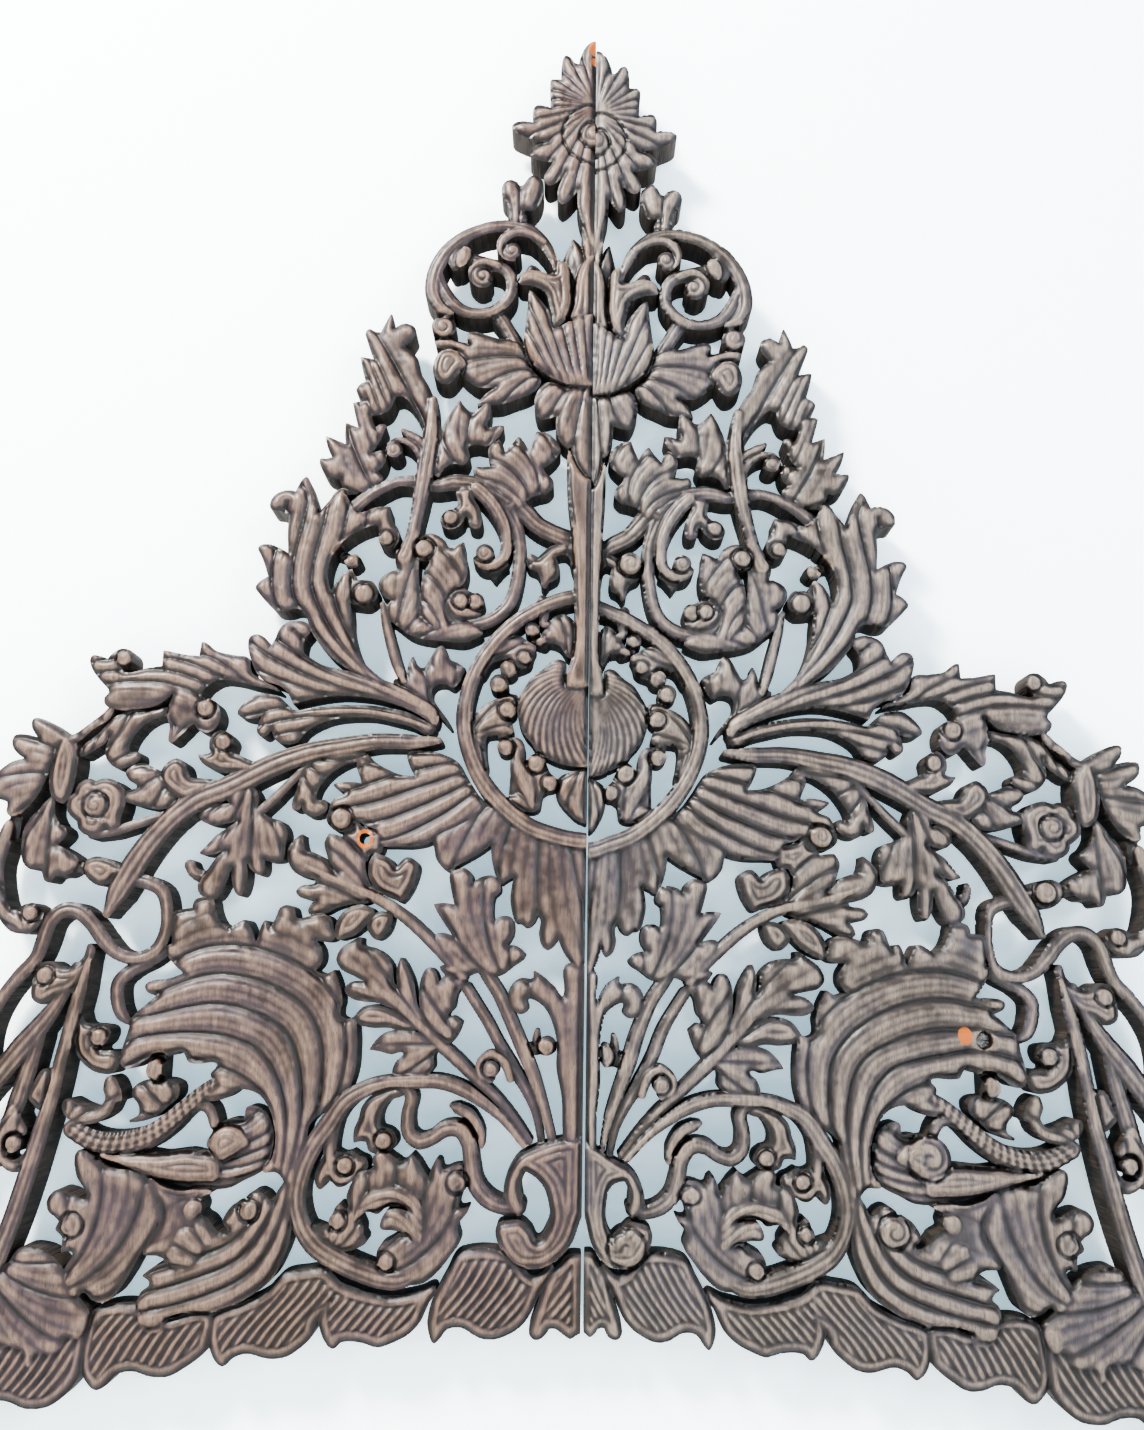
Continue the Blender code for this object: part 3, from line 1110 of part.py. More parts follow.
def fixing_screw(name, hole, side, collection, helpers):
    """A slotted wood screw with a pan head, sunk below the carved face; it ends inside the board."""
    head_top = BOARD_DEPTH - SCREW_HEAD_SINK
    seat = head_top - SCREW_HEAD_HEIGHT
    screw = cylinder(name, SCREW_HEAD_RADIUS, head_top, seat, *hole, side, collection)
    shank = cylinder("shank", SCREW_SHANK_RADIUS, seat + 1, head_top - SCREW_LENGTH, *hole, side, helpers)
    boolean(screw, "UNION", shank)
    bpy.data.objects.remove(shank)
    x = side * hole[0]
    reach = SCREW_HEAD_RADIUS + 1
    slot = block(
        "slot",
        (x - reach, -head_top - 1, hole[1] - SLOT_WIDTH / 2),
        (x + reach, -head_top + SLOT_DEPTH, hole[1] + SLOT_WIDTH / 2),
        helpers,
    )
    boolean(screw, "DIFFERENCE", slot)
    bpy.data.objects.remove(slot)
    return screw


def main():
    clear_scene()
    parts = new_collection(OBJECT_NAME)
    helpers = new_collection("cutters", hidden=True)
    brown_wood = new_material("brown_wood", (0.17, 0.115, 0.08), 0.72)
    grey_wood = new_material("grey_wood", (0.16, 0.125, 0.105), 0.75)
    dull_steel = new_material("dull_steel", (0.09, 0.085, 0.08), 0.45, 0.9)

    left = carved_board("left_carved_half", LEFT, parts, helpers)
    bore(left, LEFT_HOLE, LEFT, False, helpers)
    left.data.materials.clear()
    left.data.materials.append(brown_wood)

    right = carved_board("right_carved_half", RIGHT, parts, helpers)
    bore(right, RIGHT_HOLE, RIGHT, True, helpers)
    right.data.materials.clear()
    right.data.materials.append(grey_wood)

    screw = fixing_screw("right_fixing_screw", RIGHT_HOLE, RIGHT, parts, helpers)
    screw.data.materials.clear()
    screw.data.materials.append(dull_steel)

    for part in parts.objects:
        part.location += Vector((ORIGIN_LEFT_OF_SEAM, 0, -ORIGIN_HEIGHT)) * MM


main()
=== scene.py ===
"""A pierced, carved wooden headboard panel, hung flat on a pale wall.

Units in the tables are millimetres. Each point of a carved motif is (outward, up): outward from the seam
between the two boards, and up from the lowest point of the panel. The relief of one board is computed as
a height over a fine grid, and the other board takes it mirrored and shifted by small hand-carving
differences. Heights count from the flat back towards the viewer.
"""

import math

import bpy
import numpy as np
from mathutils import Matrix, Vector
from mathutils.geometry import delaunay_2d_cdt


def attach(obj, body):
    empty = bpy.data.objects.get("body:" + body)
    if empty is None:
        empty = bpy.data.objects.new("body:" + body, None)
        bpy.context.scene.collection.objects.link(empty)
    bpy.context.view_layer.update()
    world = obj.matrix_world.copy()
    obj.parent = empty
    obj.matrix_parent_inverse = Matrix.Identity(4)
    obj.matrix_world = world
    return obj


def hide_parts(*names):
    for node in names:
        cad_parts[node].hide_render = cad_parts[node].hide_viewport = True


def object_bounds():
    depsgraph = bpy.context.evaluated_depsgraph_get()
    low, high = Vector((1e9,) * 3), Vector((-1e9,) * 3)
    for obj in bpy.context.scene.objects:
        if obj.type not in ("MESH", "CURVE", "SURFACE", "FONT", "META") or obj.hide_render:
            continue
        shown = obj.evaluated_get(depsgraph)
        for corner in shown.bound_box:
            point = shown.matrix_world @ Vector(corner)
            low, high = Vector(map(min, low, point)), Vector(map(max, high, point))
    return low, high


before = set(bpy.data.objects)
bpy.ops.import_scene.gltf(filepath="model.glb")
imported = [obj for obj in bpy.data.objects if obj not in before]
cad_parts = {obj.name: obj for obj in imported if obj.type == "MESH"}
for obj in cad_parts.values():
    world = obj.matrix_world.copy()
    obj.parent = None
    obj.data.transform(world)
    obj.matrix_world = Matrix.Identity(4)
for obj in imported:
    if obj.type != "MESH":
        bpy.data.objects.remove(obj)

cad_low, cad_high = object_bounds()

MM = 0.001
LEFT = -1
RIGHT = 1
ORIGIN_LEFT_OF_SEAM = 12.0
ORIGIN_HEIGHT = 815.0

PITCH = 0.8
U_LOW, U_HIGH = -4.0, 502.0
Z_LOW, Z_HIGH = -8.0, 1104.0
FRONT_LIMIT = 30.0

SEAM_GAP_TOP = 0.15
SEAM_GAP_LOW = 1.1
SEAM_STRAIGHT_BELOW = 250.0
SEAM_STRAIGHT_ABOVE = 650.0

LEFT_HOLE = (161.5, 434.5)
RIGHT_HOLE = (281.0, 298.0)
BORE_RADIUS = 4.0
COUNTERBORE_RADIUS = 5.3
COUNTERBORE_FLOOR = 17.2

# Chips that show orange wood: (board, outward, up, radius).
RAW_SPOTS = [
    (LEFT, *LEFT_HOLE, 6.5),
    (LEFT, 1.0, 1088.0, 6.0),
    (LEFT, 1.0, 1076.0, 3.5),
    (LEFT, 107.0, 103.0, 3.5),
    (RIGHT, 267.0, 301.0, 5.5),
]

RAW_ORANGE = (0.30, 0.082, 0.012)

K = "corner"
TANGENT_SHARE = 0.9

# What the triangulation takes: fill the inside of the outlines, and the distance that joins two points.
TRIANGLES_INSIDE = 1
MERGE_DISTANCE = 1e-6

# The closed outlines of the carved motifs: (name, height, points). K marks a sharp corner.
OUTLINES = [
    ("finial", 26, [
        (0, 1096, K), (4, 1095), (9, 1090), (13, 1080), (14, 1074, K), (18, 1076), (21, 1080.5),
        (25, 1082), (27.5, 1078), (28.5, 1068), (28.5, 1060, K), (33, 1060), (36.5, 1059.5),
        (37.5, 1055), (37, 1044), (36.5, 1034, K), (43, 1035.5), (49, 1035), (51, 1030), (51, 1020, K),
        (60, 1021), (66, 1019), (68, 1015), (65, 1010.5), (56, 1006), (49, 1003), (38, 1002, K),
        (46, 1000.5), (51, 996.5), (52.5, 992), (50, 987.5), (44, 985), (34, 983.5, K), (37, 979),
        (41, 970), (38, 963.5), (33, 964), (27, 969), (24, 974, K), (28, 965), (30, 957), (29, 949),
        (25.5, 946), (20, 950), (14, 958, K), (13.5, 945), (11, 934), (7, 923), (3, 913), (0, 906, K),
    ]),
    ("trefoil", 24, [
        (42, 968), (46, 971.5), (50, 973), (54, 970), (57, 965), (60, 963.5), (63, 967), (68, 968.5),
        (73, 966), (75, 960), (74, 953), (70, 947), (68, 940), (69, 930), (62, 926), (55, 930),
        (54, 936), (56, 941), (50, 941), (45, 946), (42, 953), (41, 961),
    ]),
    ("bud_back", 18, [
        (0, 898, K), (6, 908), (12, 916), (17, 921, K), (21, 911), (26, 898), (30, 886), (30, 870),
        (20, 845), (0, 845, K),
    ]),
    ("bud_front", 25, [
        (0, 904, K), (6, 900), (12, 890), (15, 875), (16, 860), (18, 845), (0, 845, K),
    ]),
    ("bud_curl", 27, [
        (20, 893), (27, 897), (31, 892), (31, 885, K), (37, 886), (43, 888), (50, 888.5), (57, 886),
        (60, 880), (58, 875), (50, 874), (42, 871), (37, 866), (35, 858), (33, 850), (31, 838),
        (24, 842), (19, 851), (17, 860), (18, 876),
    ]),
    ("bud_rim", 18, [
        (33, 884), (40, 889), (46, 895), (51, 896), (55, 890), (60, 884), (60, 878), (50, 880),
        (40, 880),
    ]),
    ("bowl", 28, [
        (0, 851, K), (8, 849), (16, 845), (24, 840), (31, 838), (34, 850), (40, 859), (46, 866),
        (51, 870, K), (52, 855), (53, 840), (54, 828), (51, 815), (46, 806), (38, 799), (28, 793),
        (16, 789), (0, 788, K),
    ]),
    ("crest_drop", 28, [
        (97, 900), (100, 905), (105, 905), (109, 900), (110, 893), (108, 888), (104, 888), (99, 893),
    ]),
    ("side_leaf", 24, [
        (40, 795), (47, 803), (52, 815), (55, 827), (62, 830), (73, 829, K), (82, 832), (92, 835),
        (98, 834), (99, 829), (97, 824, K), (106, 827), (116, 831), (123, 829), (122, 821), (108, 819),
        (103, 812), (103, 799, K), (97, 793), (89, 788), (76, 788, K), (82, 784), (87, 778),
        (90, 772, K), (80, 773), (70, 774), (60, 778), (50, 782), (44, 786, K),
    ]),
    ("side_bud", 28, [
        (98, 806), (104, 815), (112, 818), (120, 815), (124, 806), (124, 797), (119, 790), (112, 789),
        (107, 793), (103, 799),
    ]),
    ("low_leaf", 25, [
        (80, 775), (88, 770), (93, 767), (98, 770), (103, 777, K), (109, 768), (114, 758), (118, 745),
        (120, 730), (121, 715), (117, 713, K), (113, 720), (106, 724), (98, 723), (94, 730), (95, 738),
        (88, 740), (80, 739), (73, 745), (69, 752), (68, 756, K), (74, 756), (81, 755), (79, 764),
    ]),
    ("upper_lotus", 25, [
        (0, 790, K), (20, 789), (34, 793), (41, 788), (45, 778), (44, 768), (41, 762), (35, 762),
        (28, 764, K), (28, 755), (25, 744), (19, 738), (16, 739, K), (14, 728), (9, 718), (3, 711),
        (0, 708, K),
    ]),
    ("palmette", 24, [
        (24, 737), (28, 745), (35, 751), (43, 752, K), (46, 744), (49, 737, K), (53, 744),
        (57, 748, K), (62, 741), (67, 735, K), (69, 741), (72, 745, K), (79, 739), (80, 732),
        (77, 723, K), (83, 722), (89, 722), (91, 717), (87, 710), (83, 705), (72, 700), (64, 694),
        (56, 688), (50, 692), (47, 697), (40, 700), (33, 702), (29, 707), (30, 713), (35, 718),
        (37, 722, K), (31, 726), (26, 732),
    ]),
    ("staff", 29, [
        (0, 712, K), (6, 716), (13, 726), (18, 735), (18, 700), (14.5, 672), (13, 650), (12.5, 620),
        (11, 598), (11, 580), (14, 568), (17, 558), (16, 548), (0, 548, K),
    ]),
    ("stem_leaf", 22, [
        (12, 662), (20, 662), (30, 660), (36, 655), (40, 651, K), (46, 653), (49, 648), (47, 642),
        (41, 639), (38, 634), (37, 628), (34, 625, K), (31, 630), (25, 634), (23, 640), (25, 648),
        (26, 651), (20, 653), (16, 650), (14, 642), (10, 635), (8, 650),
    ]),
    ("serrated", 25, [
        (117, 745), (118, 758), (121, 772), (127, 787), (134, 799), (137, 811), (147, 821, K),
        (141, 828), (139, 834), (142, 839), (149, 840.5), (156, 837, K), (157, 844), (159, 850, K),
        (163, 842), (167, 833, K), (172, 834), (176, 836), (179, 832), (176, 823), (171, 810, K),
        (176, 811), (182, 812, K), (180, 802), (177, 791, K), (181, 789), (184, 784), (181, 778),
        (178, 774, K), (182, 774), (186, 773, K), (184, 764), (181, 753, K), (186, 755), (191, 757, K),
        (191, 748), (190, 739, K), (197, 742), (206, 746, K), (204, 737), (200, 728, K), (205, 727),
        (209, 727), (209, 722), (204, 713), (198, 710), (193, 711, K), (191, 705), (184, 702),
        (177, 700), (169, 702), (163, 706), (160, 712), (164, 717, K), (160, 722), (158, 729),
        (159, 734), (170, 732, K), (166, 737), (162, 746), (159, 755, K), (164, 756), (168, 754),
        (171, 763, K), (163, 764), (157, 768), (153, 778, K), (148, 779), (141, 773), (135, 763),
        (131, 752), (130, 743),
    ]),
    ("ring_spur", 20, [
        (62, 645), (66, 640), (70, 635), (72, 632, K), (75, 636), (78, 641), (72, 646),
    ]),
    ("ring_hook", 25, [
        (90, 705), (103, 702), (102, 690), (107, 687), (113, 684), (115, 678), (112, 672), (105, 671),
        (98, 676), (95, 681), (92, 673), (85, 672), (83, 679), (85, 688), (90, 697),
    ]),
    ("ring_acanthus", 26, [
        (96, 661, K), (102, 658), (107, 656), (111, 662), (119, 666.5), (127, 666), (133, 660),
        (134, 652), (129, 646), (122, 646), (126, 636), (128, 622), (127, 606), (121, 594), (110, 587),
        (100, 590), (107, 600), (109, 612), (104, 622), (96, 627), (93, 635), (93, 645), (95, 653),
    ]),
    ("curl_core", 24, [
        (81, 608), (84, 602), (92, 600), (100, 600), (107, 606), (109, 614), (105, 622), (97, 625),
        (90, 622), (84, 621), (81, 615),
    ]),
    ("ring_foot", 25, [
        (131, 655), (146, 655), (148, 646), (146, 638, K), (151, 637), (157, 633), (160, 626),
        (157, 618), (150, 614, K), (153, 609), (151, 600), (144, 594), (134, 587), (122, 584),
        (108, 583), (95, 582), (86, 585), (80, 590), (88, 598), (110, 600), (124, 600), (128, 620),
        (130, 640),
    ]),
    ("plume", 27, [
        (140, 548), (150, 551), (160, 558), (168, 566), (174, 578), (178, 592), (179, 604),
        (180, 611, K), (174, 610), (167, 610), (161, 615), (160, 622), (164, 628), (170, 629),
        (176, 629, K), (180, 638, K), (186, 635), (191, 628), (195, 621, K), (198, 633), (196, 646),
        (190, 657), (181, 665), (170, 671), (162, 672), (161, 662), (157, 656), (151, 655), (146, 660),
        (146, 669), (151, 677), (153, 688, K), (165, 687), (176, 683), (183, 690), (190, 703, K),
        (200, 692), (207, 683, K), (211, 695), (215, 706), (218, 711), (222, 708), (226, 699, K),
        (232, 700), (239, 698), (244, 693), (245, 687), (243, 684), (237, 683), (230, 680, K),
        (230, 665), (229, 650, K), (236, 654), (243, 656.5), (250, 656), (252, 653), (249, 647),
        (246, 640), (243, 631, K), (249, 627), (252, 622), (248, 617), (242, 611), (236, 605),
        (228, 604), (219, 606), (213, 601), (208, 588), (199, 576), (190, 567), (178, 559), (160, 550),
    ]),
    ("wing_leaf", 26, [
        (112, 530), (125, 540), (140, 548), (150, 551.5), (165, 556), (185, 560), (198, 563),
        (207, 568), (213, 573), (213, 582), (209, 588), (210, 594), (217, 597), (226, 596), (232, 591),
        (235, 583), (238, 577, K), (242, 583), (248, 586), (254, 584), (255, 577), (252, 566),
        (247, 556), (240, 550), (230, 547), (223, 541), (219, 533, K), (205, 537), (185, 540),
        (165, 539), (150, 536), (135, 531), (122, 524), (113, 518),
    ]),
    ("wing_leaf_2", 24, [
        (113, 518), (122, 523), (135, 529), (150, 532), (165, 533.5), (185, 533), (205, 531),
        (218, 529), (224, 534), (230, 539), (238, 541), (245, 541), (252, 537), (258, 531), (260, 526),
        (256, 523), (249, 522), (242, 524, K), (244, 519), (245, 513), (242, 509), (238, 509),
        (234, 514, K), (232, 508), (227, 504), (220, 503), (214, 505), (209, 512), (202, 517),
        (190, 522), (176, 524), (160, 524), (145, 521), (130, 517), (118, 511),
    ]),
    ("heart_leaf", 22, [
        (92, 562), (98, 567), (104, 570), (107, 577), (111, 581, K), (115, 578), (120, 569),
        (124, 563), (129, 566), (132, 573, K), (135, 566), (138, 555), (146, 553), (140, 545),
        (125, 536), (112, 527), (105, 520), (99, 514, K), (104, 523), (113, 535), (117, 543),
        (115, 549), (108, 551), (101, 548), (96, 553), (94, 558),
    ]),
    ("medal_disc", 25, [
        (0, 552, K), (16, 552), (17, 560), (17, 568, K), (22, 570), (28, 569), (34, 563), (42, 557),
        (48, 548), (52, 540), (53, 530), (51, 520), (47, 512), (42, 506), (38, 500), (30, 495),
        (20, 491), (10, 489.5), (0, 489, K),
    ]),
    ("medal_petal", 22, [
        (0, 489, K), (12, 486), (21, 482), (24, 475), (22, 465), (15, 456), (8, 450), (0, 447, K),
    ]),
    ("medal_leaf_0", 24, [
        (11, 598), (18, 605), (26, 604), (31, 598), (36, 590), (41, 584), (36, 581), (29, 583),
        (22, 580), (14, 571), (11, 580),
    ]),
    ("medal_leaf_1", 24, [
        (40, 580), (46, 584), (52, 588), (60, 588), (68, 584), (76, 577), (84, 562), (80, 556),
        (73, 566), (66, 569), (61, 569), (60, 560), (52, 562), (44, 566), (42, 573),
    ]),
    ("medal_leaf_2", 24, [
        (55, 541), (61, 542), (68, 540), (76, 536), (84, 528), (87, 515), (86, 500), (80, 486),
        (74, 486), (75, 498), (75, 510), (70, 512), (63, 512), (56, 514), (56, 520), (58, 525),
        (54, 532),
    ]),
    ("medal_leaf_3", 24, [
        (31, 492), (34, 498), (40, 499), (46, 494), (48, 505), (54, 506), (57, 496), (57, 482),
        (54, 470), (60, 464), (48, 456), (36, 457), (33, 468), (28, 472), (24, 480), (28, 485),
    ]),
    ("vine_volute", 25, [
        (240, 484), (255, 494), (262, 497), (261, 505), (265, 511), (272, 513), (278, 508), (279, 500),
        (278, 496), (287, 494.5, K), (283, 488), (276, 484), (268, 481),
    ]),
    ("vine_hook", 24, [
        (160, 494), (175, 490), (188, 482), (196, 472), (198, 463), (191, 462), (190, 455), (195, 451),
        (202, 450), (207, 453), (209, 459, K), (210, 455), (215, 455), (216, 460), (213, 470),
        (211, 479), (206, 487), (195, 496), (178, 501),
    ]),
    ("vine_leaf_a", 25, [
        (272, 474), (283, 477), (291, 478), (295, 487), (302, 491.5), (309, 488), (313, 481),
        (312, 473), (305, 466), (292, 460),
    ]),
    ("vine_leaf_b", 24, [
        (300, 462), (305, 468), (312, 481), (320, 485), (327, 488), (334, 486), (339, 481), (336, 475),
        (330, 470), (338, 467), (340, 461), (334, 458), (322, 455), (308, 454),
    ]),
    ("cluster", 24, [
        (240, 456), (240, 464), (244, 471), (251, 473), (259, 473), (265, 470), (266, 465),
        (262, 459, K), (269, 459), (277, 457), (283, 452), (281, 446), (272, 443), (262, 444),
        (255, 446, K), (262, 441), (270, 435), (277, 427), (282, 422, K), (275, 421), (268, 422),
        (262, 425, K), (268, 420), (274, 411), (280, 403), (280, 395), (276, 391), (271, 389),
        (266, 390), (262, 396), (259, 404), (257, 412, K), (256, 402), (253, 394), (249, 392),
        (246, 398), (245, 407), (246, 416, K), (242, 410), (236, 407), (233, 410), (233, 418, K),
        (227, 417), (220, 419), (219, 428), (218, 438), (222, 446), (231, 449),
    ]),
    ("eye_leaf", 24, [
        (70, 455), (80, 468), (88, 480), (94, 490), (101, 495), (113, 499), (126, 500), (133, 498),
        (131, 488), (127, 481, K), (138, 482), (150, 487), (160, 493), (168, 494), (170, 487),
        (167, 479), (166, 475, K), (176, 476), (187, 474, K), (183, 470), (178, 467), (186, 463),
        (189, 455), (190, 447), (185, 441), (178, 439), (172, 441), (168, 447), (162, 444), (155, 441),
        (150, 430), (140, 429), (128, 429), (117, 431), (110, 435, K), (100, 440), (85, 445),
    ]),
    ("hole_patch", 22, [
        (148, 442), (155, 441), (164, 444), (168, 448), (172, 441), (176, 440), (178, 436), (172, 430),
        (166, 424), (160, 418), (157, 423), (150, 424), (148, 430),
    ]),
    ("lotus", 24, [
        (0, 432, K), (20, 436), (40, 444), (58, 454), (70, 462), (100, 445), (112, 436), (111, 428),
        (109, 420), (103, 413), (97, 412), (95, 415, K), (88, 419), (78, 425), (70, 431, K), (69, 420),
        (66, 409), (62, 403), (58, 405), (53, 408, K), (55, 395), (54, 385), (51, 376), (47, 375),
        (43, 372.5), (38, 375), (35, 381, K), (33, 377), (34, 368), (32, 360), (28, 357), (24, 359),
        (20, 364, K), (16, 355), (10, 347), (5, 340), (3, 343), (0, 350, K),
    ]),
    ("twin_leaf", 23, [
        (122, 416), (127, 421), (132, 421), (138, 415, K), (142, 420), (149, 423), (155, 423),
        (158, 417), (158, 408), (154, 400), (148, 395), (138, 391), (133, 389), (127, 397), (123, 407),
    ]),
    ("pointed_leaf", 23, [
        (150, 395), (156, 402), (160, 412), (161, 420), (168, 428), (174, 434), (182, 437),
        (188, 438, K), (191, 431), (189, 423), (186, 415), (182, 410, K), (190, 420), (198, 424),
        (204, 426), (207, 438, K), (213, 433), (217, 427), (217, 419), (213, 411), (205, 406),
        (196, 403), (206, 400), (210, 396, K), (207, 392), (200, 390), (196, 390, K), (199, 386),
        (200, 381), (195, 378), (188, 380), (180, 384), (170, 387), (158, 388),
    ]),
    ("pod_a", 24, [
        (139, 379), (143, 382), (150, 382), (156, 377), (157, 370), (153, 364), (149, 362), (143, 366),
        (140, 372),
    ]),
    ("pod_b", 25, [
        (152, 382), (157, 386), (164, 387), (172, 384), (178, 377), (180, 369), (178, 362), (171, 363),
        (164, 366), (158, 372),
    ]),
    ("bouquet_core", 25, [
        (0, 346, K), (15, 346), (16, 325), (22, 331), (30, 338), (38, 343, K), (38, 337), (46, 337),
        (52, 333), (55, 326), (54, 318), (50, 313), (44, 312), (40, 316), (41, 322), (35, 321),
        (28, 315), (23, 305), (20, 292), (20, 275), (16, 255), (15, 232), (13, 222), (0, 222, K),
    ]),
    ("bouquet_leaf", 25, [
        (78, 340), (70, 337), (60, 339), (52, 345), (45, 350), (43, 354, K), (49, 359), (56, 360, K),
        (52, 367), (52, 376), (55, 380), (62, 380), (66, 378), (67, 388), (66, 394, K), (62, 398),
        (63, 405), (68, 409), (76, 408), (82, 404, K), (83, 410), (88, 414), (94, 413), (99, 410),
        (98, 400), (95, 388, K), (103, 389), (110, 388, K), (107, 382), (101, 373), (96, 366, K),
        (103, 368), (108, 366), (108, 360), (104, 353), (99, 347), (104, 344), (102, 340), (97, 336),
        (88, 336),
    ]),
    ("stem3_leaf", 24, [
        (85, 335), (92, 339), (100, 338), (104, 334, K), (107, 341), (111, 343.5), (115, 341),
        (118, 332), (118, 320), (116, 310), (110, 299), (103, 293), (97, 290), (91, 296), (87, 306, K),
        (93, 310), (97, 310), (93, 316), (91, 325),
    ]),
    ("stem3_leaf_2", 24, [
        (114, 305), (119, 318), (122, 333), (127, 344), (132, 351, K), (135, 341), (135, 331),
        (138, 345), (145, 353), (153, 357), (160, 359), (161, 364), (168, 361), (175, 356), (178, 348),
        (174, 341), (166, 337), (158, 333, K), (165, 333), (170, 330), (171, 326), (166, 321),
        (158, 319), (147, 318), (135, 313),
    ]),
    ("stem3_leaf_3", 23, [
        (118, 302), (128, 309), (140, 315), (150, 317), (158, 315), (164, 308, K), (160, 303),
        (150, 301), (138, 301), (126, 298),
    ]),
    ("stem3_leaf_4", 24, [
        (102, 289), (110, 295), (120, 299), (131, 300), (141, 298), (148, 292), (152, 286, K),
        (145, 285), (136, 283), (128, 284), (133, 278), (135, 270), (130, 265), (120, 265), (112, 268),
        (106, 274), (106, 282),
    ]),
    ("vase", 26, [
        (0, 230, K), (18, 228), (33, 223), (45, 217), (52, 207), (55, 196), (54, 186), (46, 177),
        (41, 180), (42, 190), (43, 198), (40, 206, K), (33, 202), (27, 195), (24, 186), (23, 177),
        (26, 168), (31, 162), (35, 168), (42, 174), (50, 174), (58, 172), (60, 166), (57, 157),
        (51, 149), (44, 144), (34, 143), (24, 145), (14, 152), (7, 161), (3, 172), (0, 180, K),
    ]),
    ("scroll_hook", 24, [
        (126, 256), (135, 252), (141, 243), (141, 235), (136, 233), (131, 229), (130, 223), (134, 218),
        (142, 216), (149, 218), (152, 224), (160, 223, K), (160, 232), (157, 240), (155, 248),
        (149, 255), (140, 259), (130, 262),
    ]),
    ("scroll_volute", 23, [
        (150, 212), (156, 215), (161, 218, K), (167, 216), (175, 219), (182, 212), (186, 200),
        (182, 192), (176, 198), (170, 194), (164, 195), (158, 200), (150, 205),
    ]),
    ("scroll_acanthus", 25, [
        (84, 200), (84, 209), (90, 209), (97, 207), (99, 212), (102, 214, K), (105, 208),
        (107, 202, K), (110, 206), (114, 212), (119, 217, K), (123, 213), (126, 211, K), (132, 215),
        (140, 219), (146, 214), (146, 207), (155, 204), (160, 197), (163, 188), (162, 180), (168, 183),
        (172, 177), (173, 169), (180, 166), (175, 158), (165, 153), (155, 154), (151, 160), (150, 168),
        (153, 175), (150, 179), (141, 177), (136, 181), (130, 182), (122, 181), (115, 176), (113, 168),
        (118, 165), (126, 165), (131, 161), (139, 156), (141, 148), (138, 141), (130, 137), (120, 132),
        (108, 133), (98, 141), (90, 151), (84, 160), (86, 170), (80, 178), (78, 183, K), (85, 182),
        (84, 190),
    ]),
    ("scroll_tongue", 28, [
        (108, 165), (112, 158), (121, 165), (130, 167), (138, 168), (138, 174), (134, 180), (127, 181),
        (120, 180), (130, 184), (141, 180), (150, 178), (157, 172), (150, 190), (135, 196), (120, 194),
        (110, 184),
    ]),
    ("big_plume", 25, [
        (172, 250), (165, 258), (161, 270), (160, 285), (161, 300), (163, 308), (168, 307), (173, 310),
        (172, 320), (175, 332), (179, 341, K), (185, 338), (192, 340, K), (188, 346), (188, 354),
        (192, 361, K), (180, 362), (181, 371), (184, 378), (192, 380), (200, 378), (207, 377),
        (210, 384), (215, 386), (220, 384), (223, 376), (226, 371, K), (230, 375), (233, 370),
        (235, 362), (236, 360, K), (240, 370), (244, 375), (251, 372), (255, 369, K), (262, 374),
        (266, 382), (268, 389), (274, 391), (281, 389), (283, 383, K), (290, 382), (296, 380),
        (297, 368), (296, 358), (299, 356), (298, 349), (293, 343), (286, 337, K), (297, 333),
        (306, 332), (312, 329), (311, 324), (304, 321, K), (312, 314), (320, 306), (322, 296),
        (325, 285), (326, 275), (322, 271), (315, 272), (308, 277), (300, 281), (291, 280), (283, 283),
        (278, 276), (270, 275), (258, 275), (262, 268), (259, 260), (270, 256), (262, 250), (250, 252),
        (240, 258), (228, 255), (220, 246), (216, 236), (214, 225), (216, 212), (222, 204), (212, 203),
        (206, 196), (204, 183), (196, 190), (195, 205), (192, 222), (190, 236),
    ]),
    ("plume_heart", 27, [
        (232, 222), (236, 229), (243, 233), (251, 233), (258, 228), (261, 221), (257, 215), (251, 210),
        (244, 213), (238, 217),
    ]),
    ("plume_bowl", 21, [
        (222, 204), (217, 213), (216, 228), (220, 240), (228, 246), (236, 246), (238, 238), (246, 238),
        (256, 234), (260, 226), (262, 216), (275, 217), (292, 215), (305, 216), (322, 212), (338, 213),
        (325, 207), (300, 199), (280, 194), (262, 191), (245, 192), (235, 197),
    ]),
    ("beam", 26, [
        (252, 212), (262, 215), (276, 216), (292, 214), (310, 214), (325, 213), (336, 213), (322, 207),
        (302, 200), (280, 196), (262, 196), (252, 198),
    ]),
    ("plume_drop", 26, [
        (296, 270), (297, 276), (301, 278), (305, 275), (306, 269), (303, 264), (298, 264),
    ]),
    ("plume_shoulder", 22, [
        (284, 252), (284, 260), (291, 264), (300, 264), (309, 263), (316, 258), (316, 252), (312, 247),
        (311, 240), (318, 235), (300, 238), (290, 246),
    ]),
    ("plume_tail", 24, [
        (326, 262), (333, 266), (336, 258), (334, 250), (340, 244), (350, 246), (362, 250), (362, 240),
        (352, 234), (340, 234), (330, 240), (326, 248), (322, 250),
    ]),
    ("flower", 25, [
        (337, 457), (338, 467), (345, 474), (353, 476), (360, 474, K), (365, 475.5), (372, 472),
        (375, 465, K), (379, 460), (379, 452), (375, 447), (371, 444, K), (369, 438), (363, 434),
        (355, 434), (350, 439, K), (345, 437), (340, 441), (339, 448),
    ]),
    ("pod_cup", 24, [
        (330, 414), (338, 414), (345, 417), (355, 419), (362, 416), (364, 410), (360, 403), (352, 398),
        (345, 399), (338, 404), (334, 398),
    ]),
    ("wing_cluster", 24, [
        (390, 462), (388, 450), (384, 443), (379, 439), (378, 434), (384, 427, K), (376, 423),
